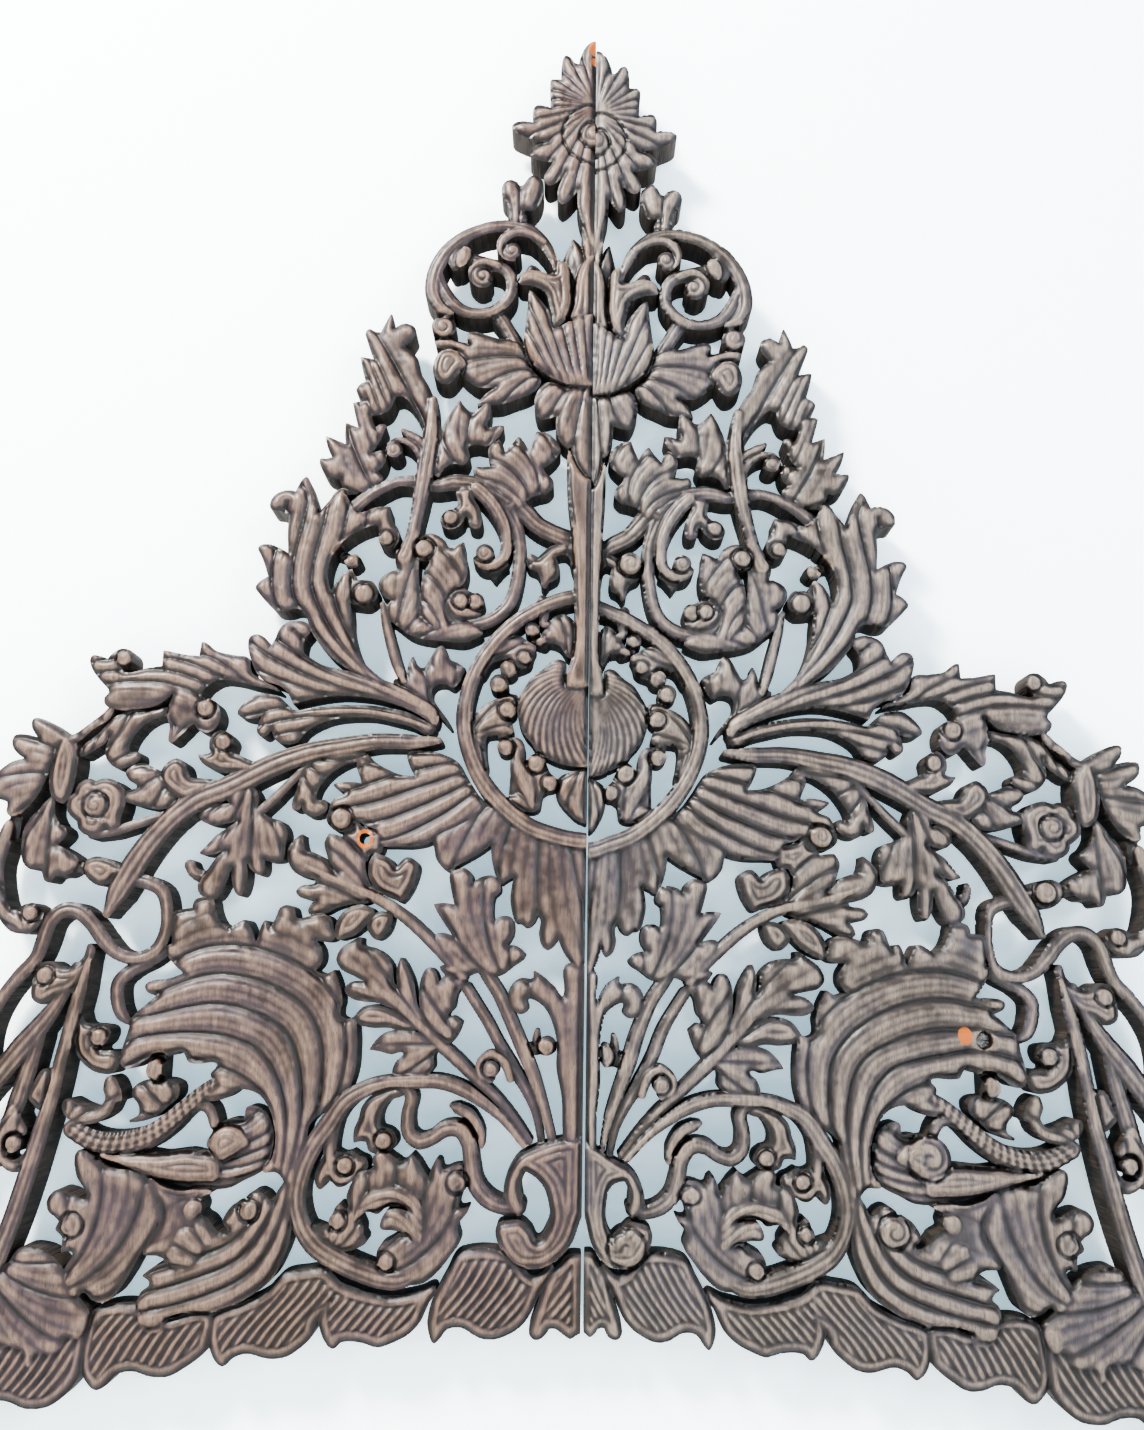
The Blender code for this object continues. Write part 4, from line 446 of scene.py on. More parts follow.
        (368, 417), (368, 411), (375, 405), (383, 404), (387, 400), (391, 401), (395, 409), (402, 409),
        (408, 414), (410, 424), (410, 436), (406, 446), (400, 452), (396, 458),
    ]),
    ("wing_stalk", 25, [
        (377, 502), (374, 490), (375, 475), (378, 462), (383, 457), (391, 462), (394, 472), (394, 484),
        (392, 497), (386, 508),
    ]),
    ("outer_leaf", 24, [
        (352, 530), (360, 524), (372, 514), (382, 508), (392, 514), (401, 519), (410, 520), (411, 514),
        (406, 506, K), (415, 508), (423, 507), (424, 500), (420, 494), (414, 490, K), (424, 487),
        (433, 479), (437, 469), (433, 461), (424, 458), (423, 449), (417, 447), (408, 454), (401, 464),
        (395, 480), (388, 498), (377, 502), (366, 512), (354, 521),
    ]),
    ("outer_curl", 22, [
        (310, 530), (325, 528), (340, 527), (352, 522), (362, 510), (374, 499), (374, 492), (364, 497),
        (356, 503), (354, 510), (356, 497), (354, 490), (347, 484), (340, 484), (330, 490), (331, 496),
        (338, 497), (337, 505), (330, 515), (322, 521), (312, 524),
    ]),
    ("wing_crest", 25, [
        (250, 556), (254, 568), (265, 570), (278, 573), (286, 579), (290, 580, K), (291, 569, K),
        (302, 570), (312, 572), (318, 573, K), (318, 561, K), (330, 559), (340, 556), (347, 557),
        (342, 560), (340, 567), (343, 573), (350, 574), (356, 570), (359, 566, K), (365, 568),
        (371, 568), (372, 563), (368, 555), (361, 547), (356, 541), (359, 536), (357, 530), (345, 527),
        (335, 528), (320, 531), (308, 540, K), (312, 525), (309, 514), (308, 503), (300, 509),
        (292, 517), (288, 513), (280, 511), (274, 516), (272, 525), (276, 534), (284, 537), (287, 540),
        (283, 546), (274, 551), (262, 550), (250, 547), (238, 545), (228, 543),
    ]),
    ("wing_volute", 24, [
        (350, 352), (355, 357), (358, 348), (364, 342), (372, 340), (380, 344), (388, 343), (392, 337),
        (393, 328), (392, 318), (384, 314), (374, 319), (364, 322), (356, 330),
    ]),
    ("wing_volute_2", 24, [
        (420, 445), (418, 428), (421, 410), (418, 392), (412, 380), (404, 384), (398, 385), (391, 380),
        (390, 372), (396, 365), (405, 363), (414, 366), (424, 378), (430, 395), (430, 415), (427, 435),
    ]),
    ("stem_volute", 24, [
        (330, 268), (326, 278), (332, 283), (340, 284), (335, 292), (336, 299), (344, 301), (352, 302),
        (357, 310), (360, 295), (358, 282), (352, 274), (342, 268),
    ]),
    ("hook_leaf", 23, [
        (374, 268), (380, 270), (385, 262), (389, 252), (386, 247), (379, 242), (374, 248), (373, 258),
    ]),
    ("wing_volute_3", 25, [
        (377, 243), (381, 225), (387, 214), (394, 209), (401, 212), (402, 220), (398, 226), (391, 224),
        (386, 228), (390, 236), (398, 246), (404, 238), (408, 222), (404, 208), (394, 201), (384, 204),
        (376, 215),
    ]),
    ("low_plume", 25, [
        (196, 205), (204, 200), (210, 192), (214, 185), (219, 189), (225, 191), (231, 188), (234, 182),
        (240, 182), (245, 176), (247, 170), (243, 164), (250, 165), (256, 172), (262, 176), (262, 186),
        (256, 190), (264, 192), (278, 190), (290, 193), (300, 198), (296, 190), (292, 180), (291, 168),
        (300, 150), (290, 148), (285, 145), (292, 141), (300, 135, K), (294, 130), (300, 124),
        (302, 112), (299, 103), (292, 98), (284, 100), (281, 108), (270, 112), (252, 112), (236, 117),
        (222, 125), (212, 133), (206, 143), (200, 160), (199, 180),
    ]),
    ("low_drop", 26, [
        (262, 176), (262, 183), (268, 185), (273, 182), (274, 176), (269, 171),
    ]),
    ("low_fan", 27, [
        (250, 158), (255, 166), (262, 170), (270, 170), (277, 166), (282, 160), (285, 152), (282, 144),
        (277, 138), (270, 136), (263, 140), (260, 148),
    ]),
    ("wing_face", 25, [
        (300, 198), (312, 203), (328, 205), (336, 210), (350, 216), (350, 200), (343, 190), (342, 184),
        (350, 187), (362, 190), (368, 184), (367, 176), (360, 170), (361, 164), (356, 158),
        (356, 149, K), (348, 149), (352, 140), (354, 130), (350, 122), (343, 120), (338, 124),
        (332, 119), (324, 118), (317, 122), (309, 134), (302, 148), (296, 158), (291, 170), (292, 182),
    ]),
    ("wing_foot", 25, [
        (343, 124), (352, 138), (362, 148), (372, 152), (384, 152), (392, 142), (404, 132), (414, 112),
        (410, 95), (400, 84), (388, 88), (377, 86), (374, 78), (370, 76), (366, 84), (356, 84),
        (350, 88), (347, 94), (340, 94), (334, 101), (333, 112),
    ]),
    ("lappet_0", 22, [
        (0, 152, K), (10, 152), (16, 146), (24, 138), (30, 122), (35, 108), (36, 102), (34, 98),
        (30, 97), (26, 99), (22, 104, K), (18, 104), (12, 100), (8, 98), (4, 100), (0, 102, K),
    ]),
    ("lappet_1", 22, [
        (20, 145), (34, 138), (50, 153), (84, 153), (94, 138), (102, 122), (105, 108), (103, 98),
        (100, 94), (96, 97), (91, 103), (82, 104), (70, 98), (60, 97), (50, 100), (42, 105), (36, 112),
        (28, 128),
    ]),
    ("lappet_2", 22, [
        (100, 130), (112, 127), (130, 124), (150, 127), (164, 132), (176, 141), (178, 125), (179, 108),
        (176, 98), (171, 91), (167, 90), (162, 94), (150, 94), (138, 91), (128, 94), (118, 99),
        (110, 107), (105, 118),
    ]),
    ("lappet_3", 22, [
        (150, 125), (164, 132), (176, 141), (190, 140), (205, 137), (216, 126), (232, 118), (250, 111),
        (253, 100), (251, 88), (246, 80), (241, 78), (235, 83), (226, 86), (212, 83), (200, 84),
        (190, 90), (182, 98), (178, 108),
    ]),
    ("lappet_4", 22, [
        (250, 111), (266, 112), (280, 108), (300, 116), (318, 117), (332, 112), (336, 100), (338, 84),
        (336, 72), (330, 64), (325, 62), (319, 65), (312, 72), (302, 74), (290, 71), (278, 71),
        (268, 76), (258, 83), (252, 90),
    ]),
    ("lappet_5", 22, [
        (334, 112), (345, 105), (360, 100), (380, 98), (398, 94), (410, 88), (416, 70), (418, 58),
        (414, 50), (408, 46), (402, 49), (395, 54), (384, 54), (372, 50), (358, 51), (348, 57),
        (340, 66), (336, 76),
    ]),
    ("lappet_6", 22, [
        (400, 98), (420, 104), (440, 96), (462, 84), (478, 66), (488, 44), (492, 22), (490, 8),
        (485, 0), (479, 4), (470, 14), (458, 22), (444, 26), (430, 32), (420, 42), (415, 56),
    ]),
    ("finial_foot", 22, [
        (0, 930, K), (9, 930), (9, 915), (7, 900), (5, 888), (0, 885, K),
    ]),
]

# Bands that run along a line of points: (name, height, points of (outward, up, width)).
BANDS = [
    ("crest_band", 26, [
        (30, 886, 3), (33, 898, 7), (40, 911, 10), (52, 922, 12), (68, 926, 11), (85, 924, 10),
        (102, 917, 10), (115, 906, 11), (123, 893, 12), (127, 880, 12), (127, 866, 12), (121, 855, 10),
        (114, 850, 8),
    ]),
    ("crest_curl_in", 27, [
        (40, 912, 6), (52, 919, 8), (63, 920, 8), (72, 914, 8), (74, 906, 7), (70, 899, 6),
        (64, 897, 4),
    ]),
    ("crest_curl_out", 25, [
        (88, 920, 4), (100, 915, 6), (108, 906, 7), (112, 897, 9), (110, 890, 7),
    ]),
    ("crest_ring", 25, [
        (96, 896, 12), (84, 893, 11), (73, 890, 10), (66, 882, 9), (65, 870, 9), (70, 860, 9),
        (80, 852, 9), (92, 850, 9), (104, 853, 10), (113, 861, 11), (120, 873, 10), (124, 884, 8),
    ]),
    ("crest_ring_eye", 27, [
        (76, 891, 6), (86, 894, 8), (94, 889, 9), (95, 881, 8), (90, 875, 7), (84, 876, 5),
    ]),
    ("ring_neck", 22, [
        (52, 812, 14), (60, 826, 12), (67, 838, 11), (74, 849, 12), (80, 854, 8),
    ]),
    ("crest_foot", 20, [
        (116, 850, 12), (118, 840, 12), (119, 830, 10), (108, 824, 10), (94, 820, 12),
    ]),
    ("palm_stem", 22, [
        (8, 662, 16), (24, 668, 14), (40, 676, 14), (52, 688, 16), (64, 698, 16),
    ]),
    ("mid_stem", 27, [
        (124, 775, 8), (124, 750, 11), (127, 725, 14), (130, 700, 12), (133, 680, 10), (136, 663, 10),
        (141, 648, 13),
    ]),
    ("stem_curl", 26, [
        (128, 735, 6), (133, 742, 7), (140, 746, 7), (146, 750, 3),
    ]),
    ("stem_curl2", 26, [
        (131, 728, 6), (136, 736, 6), (143, 741, 5), (150, 742, 4), (156, 739, 4),
    ]),
    ("serr_foot", 22, [
        (180, 702, 6), (192, 700, 7), (198, 692, 6), (205, 681, 8),
    ]),
    ("ring_top", 24, [
        (64, 694, 16), (78, 703, 15), (92, 708, 14), (106, 709, 13), (120, 706, 10), (134, 709, 10),
        (148, 709, 8), (160, 704, 9), (172, 696, 10), (183, 685, 12), (190, 673, 12),
    ]),
    ("ring_left", 23, [
        (66, 690, 16), (57, 672, 12), (54, 655, 10), (55, 635, 10), (60, 615, 10), (70, 603, 11),
        (84, 597, 11), (98, 596, 10), (107, 603, 7), (109, 613, 5),
    ]),
    ("ring_inner", 26, [
        (88, 704, 12), (76, 692, 12), (67, 676, 11), (64, 660, 9), (66, 649, 8), (73, 643, 8),
        (81, 643, 8), (86, 647, 6),
    ]),
    ("heart_stem", 24, [
        (138, 552, 6), (144, 566, 8), (149, 582, 8), (153, 597, 7), (156, 611, 4),
    ]),
    ("medal_ring", 27, [
        (0, 620.5, 11), (30, 613, 11), (60, 594, 11), (83, 563, 11), (92, 527, 12), (86, 495, 12),
        (70, 468, 13), (45, 446, 13), (20, 437, 13), (0, 434, 13),
    ]),
    ("medal_hook", 24, [
        (36, 616, 8), (34, 606, 7), (35, 598, 6), (31, 597, 4),
    ]),
    ("medal_stalk", 20, [
        (34, 584, 8), (40, 586, 7), (44, 590, 6),
    ]),
    ("medal_link", 20, [
        (66, 548, 8), (62, 541, 10), (56, 540, 8),
    ]),
    ("medal_link_2", 22, [
        (62, 516, 8), (62, 508, 8), (52, 506, 8), (51, 495, 9), (53, 482, 8), (54, 468, 8),
    ]),
    ("vine", 26, [
        (110, 507, 5), (130, 506, 11), (155, 506, 12), (180, 502, 14), (205, 497, 15), (232, 487, 17),
        (262, 471, 17), (285, 461, 17), (303, 446, 16), (317, 429, 17), (328, 411, 18), (337, 393, 16),
        (343, 378, 6),
    ]),
    ("vine_branch", 23, [
        (202, 492, 6), (215, 478, 6), (228, 464, 7), (240, 452, 7), (250, 440, 6),
    ]),
    ("cluster_link", 20, [
        (276, 405, 10), (284, 408, 8), (288, 414, 8),
    ]),
    ("pointed_stem", 25, [
        (88, 338, 8), (97, 348, 9), (110, 361, 9), (128, 377, 9), (148, 390, 8), (170, 400, 7),
        (190, 408, 5), (203, 414, 3),
    ]),
    ("bud_stem", 20, [
        (34, 300, 4), (34, 293, 7), (30, 288, 8), (24, 289, 8),
    ]),
    ("stem_1", 24, [
        (22, 226, 6), (28, 247, 7), (36, 270, 9), (44, 288, 10), (53, 308, 10), (61, 325, 10),
        (69, 337, 10), (78, 352, 9),
    ]),
    ("stem_2", 22, [
        (30, 226, 5), (34, 245, 6), (42, 262, 8), (52, 277, 10), (61, 292, 8), (69, 306, 8),
        (77, 318, 8), (85, 330, 8),
    ]),
    ("stem_3", 24, [
        (38, 226, 5), (50, 242, 6), (63, 256, 7), (77, 268, 8), (90, 280, 9), (102, 290, 9),
        (114, 301, 8), (127, 312, 8), (141, 325, 8), (153, 336, 7), (164, 348, 4),
    ]),
    ("stem_2_curl", 25, [
        (52, 268, 6), (57, 279, 7), (66, 284, 6), (73, 279, 6), (73, 271, 6), (66, 267, 5),
    ]),
    ("vase_vine", 24, [
        (45, 183, 12), (56, 183, 11), (67, 188, 12), (75, 198, 12), (78, 212, 11), (80, 224, 11),
        (87, 233, 11), (97, 233, 11), (106, 227, 10), (115, 225, 11), (122, 231, 10), (123, 243, 9),
        (121, 254, 9), (125, 261, 9), (133, 266, 8),
    ]),
    ("vase_leaf", 23, [
        (71, 222, 3), (73, 233, 7), (80, 243, 9), (88, 247, 8), (93, 249, 3),
    ]),
    ("scroll_band", 26, [
        (42, 224, 5), (56, 240, 6), (70, 251, 8), (85, 260, 10), (102, 265, 10), (120, 265, 10),
        (138, 264, 9), (152, 260, 11), (167, 251, 13), (178, 235, 14), (188, 220, 13), (195, 203, 13),
        (197, 186, 13), (193, 170, 13), (184, 157, 14), (170, 148, 14), (154, 141, 14), (138, 136, 14),
        (124, 135, 12), (112, 142, 10),
    ]),
    ("scroll_inner", 24, [
        (170, 246, 8), (174, 232, 8), (176, 218, 9), (174, 206, 8), (169, 199, 7), (162, 200, 6),
        (158, 205, 5),
    ]),
    ("scroll_tail", 24, [
        (152, 160, 8), (162, 157, 9), (175, 161, 10), (187, 166, 8),
    ]),
    ("rope", 25, [
        (254, 264, 8), (264, 258, 9), (274, 249, 11), (286, 238, 12), (300, 228, 13), (318, 222, 14),
        (338, 222, 14), (355, 230, 13),
    ]),
    ("rope_2", 23, [
        (257, 234, 7), (262, 245, 8), (270, 247, 8), (279, 242, 9), (289, 231, 9), (302, 221, 8),
        (318, 216, 8),
    ]),
    ("loop", 24, [
        (334, 403, 10), (318, 401, 10), (306, 395, 10), (301, 381, 9), (301, 366, 9), (307, 353, 9),
        (320, 347, 9), (334, 350, 9), (345, 360, 11), (354, 371, 11), (364, 379, 11), (375, 380, 11),
        (384, 372, 11), (388, 358, 11), (392, 346, 10), (402, 334, 10), (412, 320, 9), (420, 302, 9),
        (422, 282, 8), (418, 264, 6),
    ]),
    ("loop_tail", 22, [
        (300, 352, 7), (311, 345, 9), (323, 339, 10), (332, 330, 10), (332, 318, 10), (328, 308, 9),
        (322, 303, 5),
    ]),
    ("flower_stem", 23, [
        (306, 450, 7), (318, 446, 7), (330, 442, 7), (345, 437, 7), (360, 434, 5),
    ]),
    ("pod_link", 20, [
        (360, 409, 8), (370, 412, 8),
    ]),
    ("wing_stem_a", 27, [
        (353, 345, 4), (357, 325, 9), (361, 305, 10), (366, 280, 9), (370, 255, 10), (377, 225, 12),
        (384, 195, 13), (392, 165, 13), (402, 135, 13), (414, 105, 12), (430, 75, 11), (446, 48, 10),
    ]),
    ("wing_stem_b", 24, [
        (362, 340, 8), (372, 318, 10), (384, 300, 14), (396, 285, 16), (410, 266, 15), (424, 246, 13),
        (437, 218, 13), (447, 188, 12), (454, 158, 11), (458, 128, 10), (459, 98, 10), (458, 78, 8),
    ]),
    ("wing_stem_c", 23, [
        (384, 292, 8), (390, 270, 12), (396, 248, 13), (401, 228, 11), (404, 208, 8),
    ]),
    ("curl_link", 12, [
        (178, 646, 8), (188, 652, 7), (200, 656, 6),
    ]),
    ("bud_link", 18, [
        (25, 290, 10), (42, 287, 9),
    ]),
    ("drop_link", 16, [
        (300, 286, 9), (300, 262, 9),
    ]),
    ("leaf_link", 16, [
        (73, 231, 8), (84, 236, 8),
    ]),
    ("curl_link_2", 18, [
        (417, 458, 9), (419, 434, 9),
    ]),
]

# The round eyes and balls: (outward, up, radius, height from the back).
BOSSES = [
    (0, 1009, 26, 28), (0, 1008, 12, 30), (65, 904, 7, 28), (88, 882, 8, 27), (117.5, 838.5, 9.5, 27),
    (152, 734, 6.5, 28), (80, 652, 7, 28), (107, 680, 6, 28), (126, 655, 7.5, 29), (86, 614, 6.5, 28),
    (97, 614, 6, 28), (155, 662, 6, 29), (170, 618, 8, 29), (181, 646, 6, 22), (43, 593, 5.5, 26),
    (48, 571, 5.5, 26), (60, 562, 6.5, 28), (67, 551, 7, 27), (60, 531, 6.5, 28), (61, 503, 6, 28),
    (38, 491, 7, 28), (28, 477, 6, 27), (268, 504, 6.5, 28), (179, 449, 8, 28), (27, 290, 6.5, 25),
    (66, 274, 6, 27), (139, 225, 6, 28), (165, 208, 6, 27), (134, 146, 6, 28), (168, 172, 6, 27),
    (87, 198, 7, 26), (358, 456, 9, 29), (283, 529, 7, 29), (346, 566, 6, 28), (384, 334, 6.5, 27),
    (398, 378, 6, 28), (342, 292, 6.5, 27), (395, 220, 6, 28), (229, 178, 7, 28), (350, 167, 8, 27),
]

# How far each spot of the right board's carving lies from its mirror image on the left board.
HAND_SHIFTS = [
    (25, 1082, -1, -9), (50, 1035, -1, -6), (68, 968, -2, -8), (70, 931, -8, -4), (133, 868, -8, -8),
    (88, 882, -9, -9), (117, 838, -3, -5), (159, 850, -9, -10), (179, 834, -13, -8),
    (182, 812, -10, -10), (186, 773, -10, -7), (206, 746, -10, -7), (209, 727, -12, -8),
    (124, 750, -12, -8), (130, 700, -20, -8), (218, 711, -11, -8), (244, 693, -16, -3),
    (250, 656, -11, -10), (252, 622, -14, -6), (254, 585, -11, -5), (290, 580, -15, -11),
    (318, 573, -16, -9), (346, 566, -14, -9), (371, 568, -18, -9), (359, 533, -18, -10),
    (107, 680, -12, -5), (80, 652, -10, -9), (126, 655, -8, -2), (170, 618, -12, -3),
    (98, 527, -9, -6), (70, 431, -12, -7), (111, 435, -11, -8), (110, 388, -14, -1),
    (205, 190, -18, -3), (134, 146, -17, -1), (168, 172, -16, -4), (165, 208, -12, -8),
    (139, 225, -12, -10), (215, 386, -7, -11), (358, 457, -21, -7), (398, 378, -19, -8),
    (384, 334, -15, -4), (395, 220, -17, -5), (370, 250, -16, -5), (379, 200, -19, -4),
    (229, 178, -16, -8), (268, 178, -14, -1), (30, 97, -8, 1), (100, 94, -14, -2), (167, 90, -12, -4),
    (241, 78, -16, -3), (325, 62, -22, -1),
]
SHIFT_REACH = 32.0
SHIFT_SEAM_RAMP = 25.0
FAR_WEIGHT = 1e-5
FAR_SPREAD = 3.0

# Leaves cut as a fan of flutes: (root outward, root up, flutes in half a turn, twist in radians per 100 mm).
FANS = {
    "finial": (0, 1033, 14, 0.0),
    "finial_foot": (0, 1033, 14, 0.0),
    "trefoil": (60, 915, 8, 0.0),
    "bud_back": (0, 830, 10, 0.0),
    "bowl": (-2, 730, 40, 0.0),
    "side_leaf": (30, 806, 8, 0.5),
    "low_leaf": (82, 705, 7, -0.8),
    "upper_lotus": (0, 822, 9, 0.0),
    "palmette": (48, 682, 7, 1.4),
    "stem_leaf": (14, 668, 5, 0.0),
    "ring_acanthus": (112, 578, 7, 1.5),
    "ring_foot": (150, 575, 7, 0.0),
    "heart_leaf": (118, 505, 7, 0.6),
    "medal_disc": (-4, 552, 26, 1.6),
    "medal_petal": (0, 500, 8, 0.0),
    "medal_leaf_0": (20, 566, 5, 1.0),
    "medal_leaf_1": (84, 570, 5, 1.0),
    "medal_leaf_2": (86, 510, 5, -1.0),
    "medal_leaf_3": (40, 452, 5, 1.0),
    "lotus": (0, 527, 13, 0.25),
    "cluster": (244, 482, 8, 0.0),
    "pointed_leaf": (146, 372, 7, 0.6),
    "bouquet_leaf": (52, 328, 7, -0.5),
    "bouquet_core": (4, 150, 16, 0.0),
    "stem3_leaf": (82, 286, 7, 0.0),
    "stem3_leaf_2": (112, 300, 7, 0.0),
    "stem3_leaf_4": (98, 290, 5, 0.0),
    "scroll_acanthus": (176, 150, 8, 1.2),
    "low_fan": (250, 136, 7, 0.8),
    "wing_face": (372, 122, 8, 0.8),
    "wing_foot": (410, 150, 8, 0.5),
    "plume_shoulder": (284, 232, 6, 0.6),
    "plume_tail": (362, 232, 6, 0.0),
    "outer_leaf": (350, 470, 8, 0.4),
    "outer_curl": (374, 484, 7, 0.8),
    "vine_hook": (216, 498, 7, 0.8),
    "vine_leaf_b": (300, 486, 6, 0.0),
    "wing_cluster": (390, 462, 6, 0.0),
    "wing_volute_2": (400, 363, 5, 0.6),
    "wing_volute_3": (390, 246, 5, 0.8),
}

# Long leaves cut as ribs that run between two guide lines: (one side, the other side, ribs).
FLOWS = {
    "big_plume": (
        [(200, 185), (176, 240), (168, 290), (182, 328), (222, 352), (268, 356), (312, 334)],
        [(214, 205), (217, 236), (232, 262), (266, 276), (300, 281), (324, 271)],
        4,
    ),
    "plume": (
        [(143, 548), (172, 590), (180, 630), (172, 665), (168, 705)],
        [(170, 545), (212, 580), (236, 610), (240, 640), (232, 690)],
        4,
    ),
    "wing_leaf": (
        [(106, 524), (150, 548), (190, 566), (222, 590)],
        [(106, 514), (165, 527), (215, 536), (256, 548)],
        4,
    ),
    "wing_leaf_2": (
        [(106, 516), (160, 531), (210, 533), (262, 522)],
        [(106, 508), (160, 516), (210, 514), (258, 503)],
        2,
    ),
    "eye_leaf": (
        [(68, 500), (108, 500), (150, 494), (190, 474)],
        [(82, 470), (110, 450), (146, 434), (186, 436)],
        4,
    ),
    "low_plume": (
        [(196, 205), (200, 165), (216, 132), (250, 112), (302, 100)],
        [(216, 205), (222, 180), (240, 158), (268, 146), (304, 134)],
        3,
    ),
    "plume_bowl": (
        [(216, 232), (240, 220), (290, 217), (338, 215)],
        [(222, 196), (250, 190), (290, 194), (338, 211)],
        4,
    ),
    "wing_crest": (
        [(228, 515), (262, 556), (310, 576), (372, 572)],
        [(240, 502), (270, 530), (315, 548), (372, 545)],
        3,
    ),
    "serrated": (
        [(128, 700), (140, 740), (160, 790), (190, 850)],
        [(152, 700), (170, 740), (186, 790), (204, 850)],
        4,
    ),
    "curl_core": ([(80, 600), (95, 612), (109, 625)], [(90, 600), (104, 606), (112, 618)], 2),
    "scroll_tongue": (
        [(108, 176), (130, 194), (157, 186)],
        [(112, 160), (132, 176), (157, 160)],
        3,
    ),
}
# The right board has a coiled foot under its vase and a snail-shaped coil inside its big plume:
# (outward, up, radius, height).
RIGHT_COILS = [
    (30.0, 157.0, 13.0, 29.0),
    (239.0, 218.0, 15.0, 30.0),
    (213.0, 170.0, 11.0, 29.5),
    (30.0, 645.0, 8.5, 29.0),
    (330.0, 402.0, 8.0, 29.0),
]

# The eyes: the larger ones are coiled, and all have a groove round their foot.
COILED_FROM = 4.5
COIL_TURNS = 1.7
COIL_DEPTH = 1.5
COIL_LINE_WIDTH = 0.16
BOSS_DOME = 0.55
BOSS_GROOVE_DEPTH = 2.4
BOSS_GROOVE_OUTSIDE = 0.4
BOSS_GROOVE_WIDTH = 1.1

# The leaves: a rounded edge, main flutes or ribs, and hairlines between them.
LEAF_SWELL = 2.5
FLUTE_DEPTH = 2.2
RIB_DEPTH = 3.4
HAIRLINE_DEPTH = 0.6
HAIRLINES_PER_FLUTE = 3
HAIRLINES_PER_RIB = 4
FINEST_FLUTE = 2.2
VALLEY_SHARPNESS = 0.75
EDGE_DROP = 6.5
EDGE_REACH = 9.0
RIM_FLUTE_SPACING = 5.2
RIM_FLUTE_DEPTH = 1.1

# The bands: a rounded crown, three low ridges on a wide one, and a twist on the ropes.
BAND_SWELL = 1.0
BAND_DROP = 3.2
RIDGED_FROM = 4.5
BAND_RIDGE = 0.55
BAND_RIDGE_SINK = 0.3
ROPES = ("rope", "rope_2")
TWIST_HEIGHT = 0.7
TWIST_LENGTH = 6.0
TWIST_SLANT = 0.35

# The lappets of the lower border.
LAPPET_EDGE_DROP = 7.0
LAPPET_EDGE_REACH = 14.0
LAPPET_RIDGE_SPACING = 7.0
LAPPET_SLANT = 0.75
LAPPET_WAVE = 1.5
LAPPET_WAVE_LENGTH = 9.0
LAPPET_RIDGE_HEIGHT = 2.0
LAPPET_LIP = 7.0
LAPPET_GROOVE_DEPTH = 1.2
LAPPET_GROOVE_WIDTH = 0.9

# The unevenness of handwork: (height, size of its swellings, seed).
UNEVENNESS = [(0.35, 11.0, 5), (0.2, 4.0, 9)]
THINNEST = 4.0
SPREAD_CELLS = 4

# How deep a hollow is against its surroundings, for the colours: worn ridges where high, and painted shade in
# the hollows.
CAVITY_REACH = 28.0
CAVITY_DEPTH = 1.5
SHARP_ANGLE = math.radians(50)

WALL_GAP = 0.012
FLOOR_GAP = 0.002
STAGE_SIZE = 8.0

# Keeps the slope of a rounded edge from growing without limit.
ALMOST_ONE = 0.999
TINY = 1e-9


# ---------------------------------------------------------------- curves and distances


def tangent(spots, index, corners, closed, chord):
    """The curve's direction at a point, about as long as the chord beside it; none at a corner or an end."""
    count = len(spots)
    if index in corners or (not closed and index in (0, count - 1)):
        return None
    across = (spots[(index + 1) % count] - spots[index - 1]) / 2
    size = np.hypot(*across)
    chord_size = np.hypot(*chord)
    return across / max(size, TINY) * min(max(size, TANGENT_SHARE * chord_size), chord_size)


def curve_through(points, closed, steps=5):
    """A smooth line through the points, with straight or free ends at the corners."""
    spots = np.array([point[:2] for point in points], float)
    corners = {index for index, point in enumerate(points) if point[2:] == (K,)}
    t = np.arange(steps)[:, None] / steps
    line = []
    for index in range(len(spots) if closed else len(spots) - 1):
        here = spots[index]
        there = spots[(index + 1) % len(spots)]
        chord = there - here
        leaving = tangent(spots, index, corners, closed, chord)
        arriving = tangent(spots, (index + 1) % len(spots), corners, closed, chord)
        if leaving is None and arriving is None:
            leaving = arriving = chord
        elif leaving is None:
            leaving = 1.5 * chord - 0.5 * arriving
        elif arriving is None:
            arriving = 1.5 * chord - 0.5 * leaving
        run = here * (2 * t**3 - 3 * t**2 + 1) + there * (3 * t**2 - 2 * t**3)
        line.append(run + leaving * (t**3 - 2 * t**2 + t) + arriving * (t**3 - t**2))
    if not closed:
        line.append(spots[-1:])
    return np.vstack(line)


def smoothstep(value, low, high):
    t = np.clip((value - low) / (high - low), 0, 1)
    return t * t * (3 - 2 * t)


def rounded_drop(distance, reach, drop):
    """How far a rounded edge lies below the middle, at a distance inside the outline."""
    t = 1 - np.clip(distance / reach, 0, 1)
    return drop * (1 - np.sqrt(1 - t * t * ALMOST_ONE))


def outline_distance(line, grid_u, grid_z):
    """Signed distance of each grid point to a closed line, positive inside."""
    nearest = np.full(grid_u.shape, 1e9)
    inside = np.zeros(grid_u.shape, bool)
    for (u0, z0), (u1, z1) in zip(line, np.roll(line, -1, axis=0)):
        du, dz = u1 - u0, z1 - z0
        size = du * du + dz * dz
        if size < TINY:
            continue
        t = np.clip(((grid_u - u0) * du + (grid_z - z0) * dz) / size, 0, 1)
        square = (grid_u - u0 - t * du) ** 2 + (grid_z - z0 - t * dz) ** 2
        np.minimum(nearest, square, out=nearest)
        if dz:
            crossed = (z0 > grid_z) != (z1 > grid_z)
            inside ^= crossed & (grid_u < u0 + (grid_z - z0) * du / dz)
    distance = np.sqrt(nearest)
    return np.where(inside, distance, -distance)


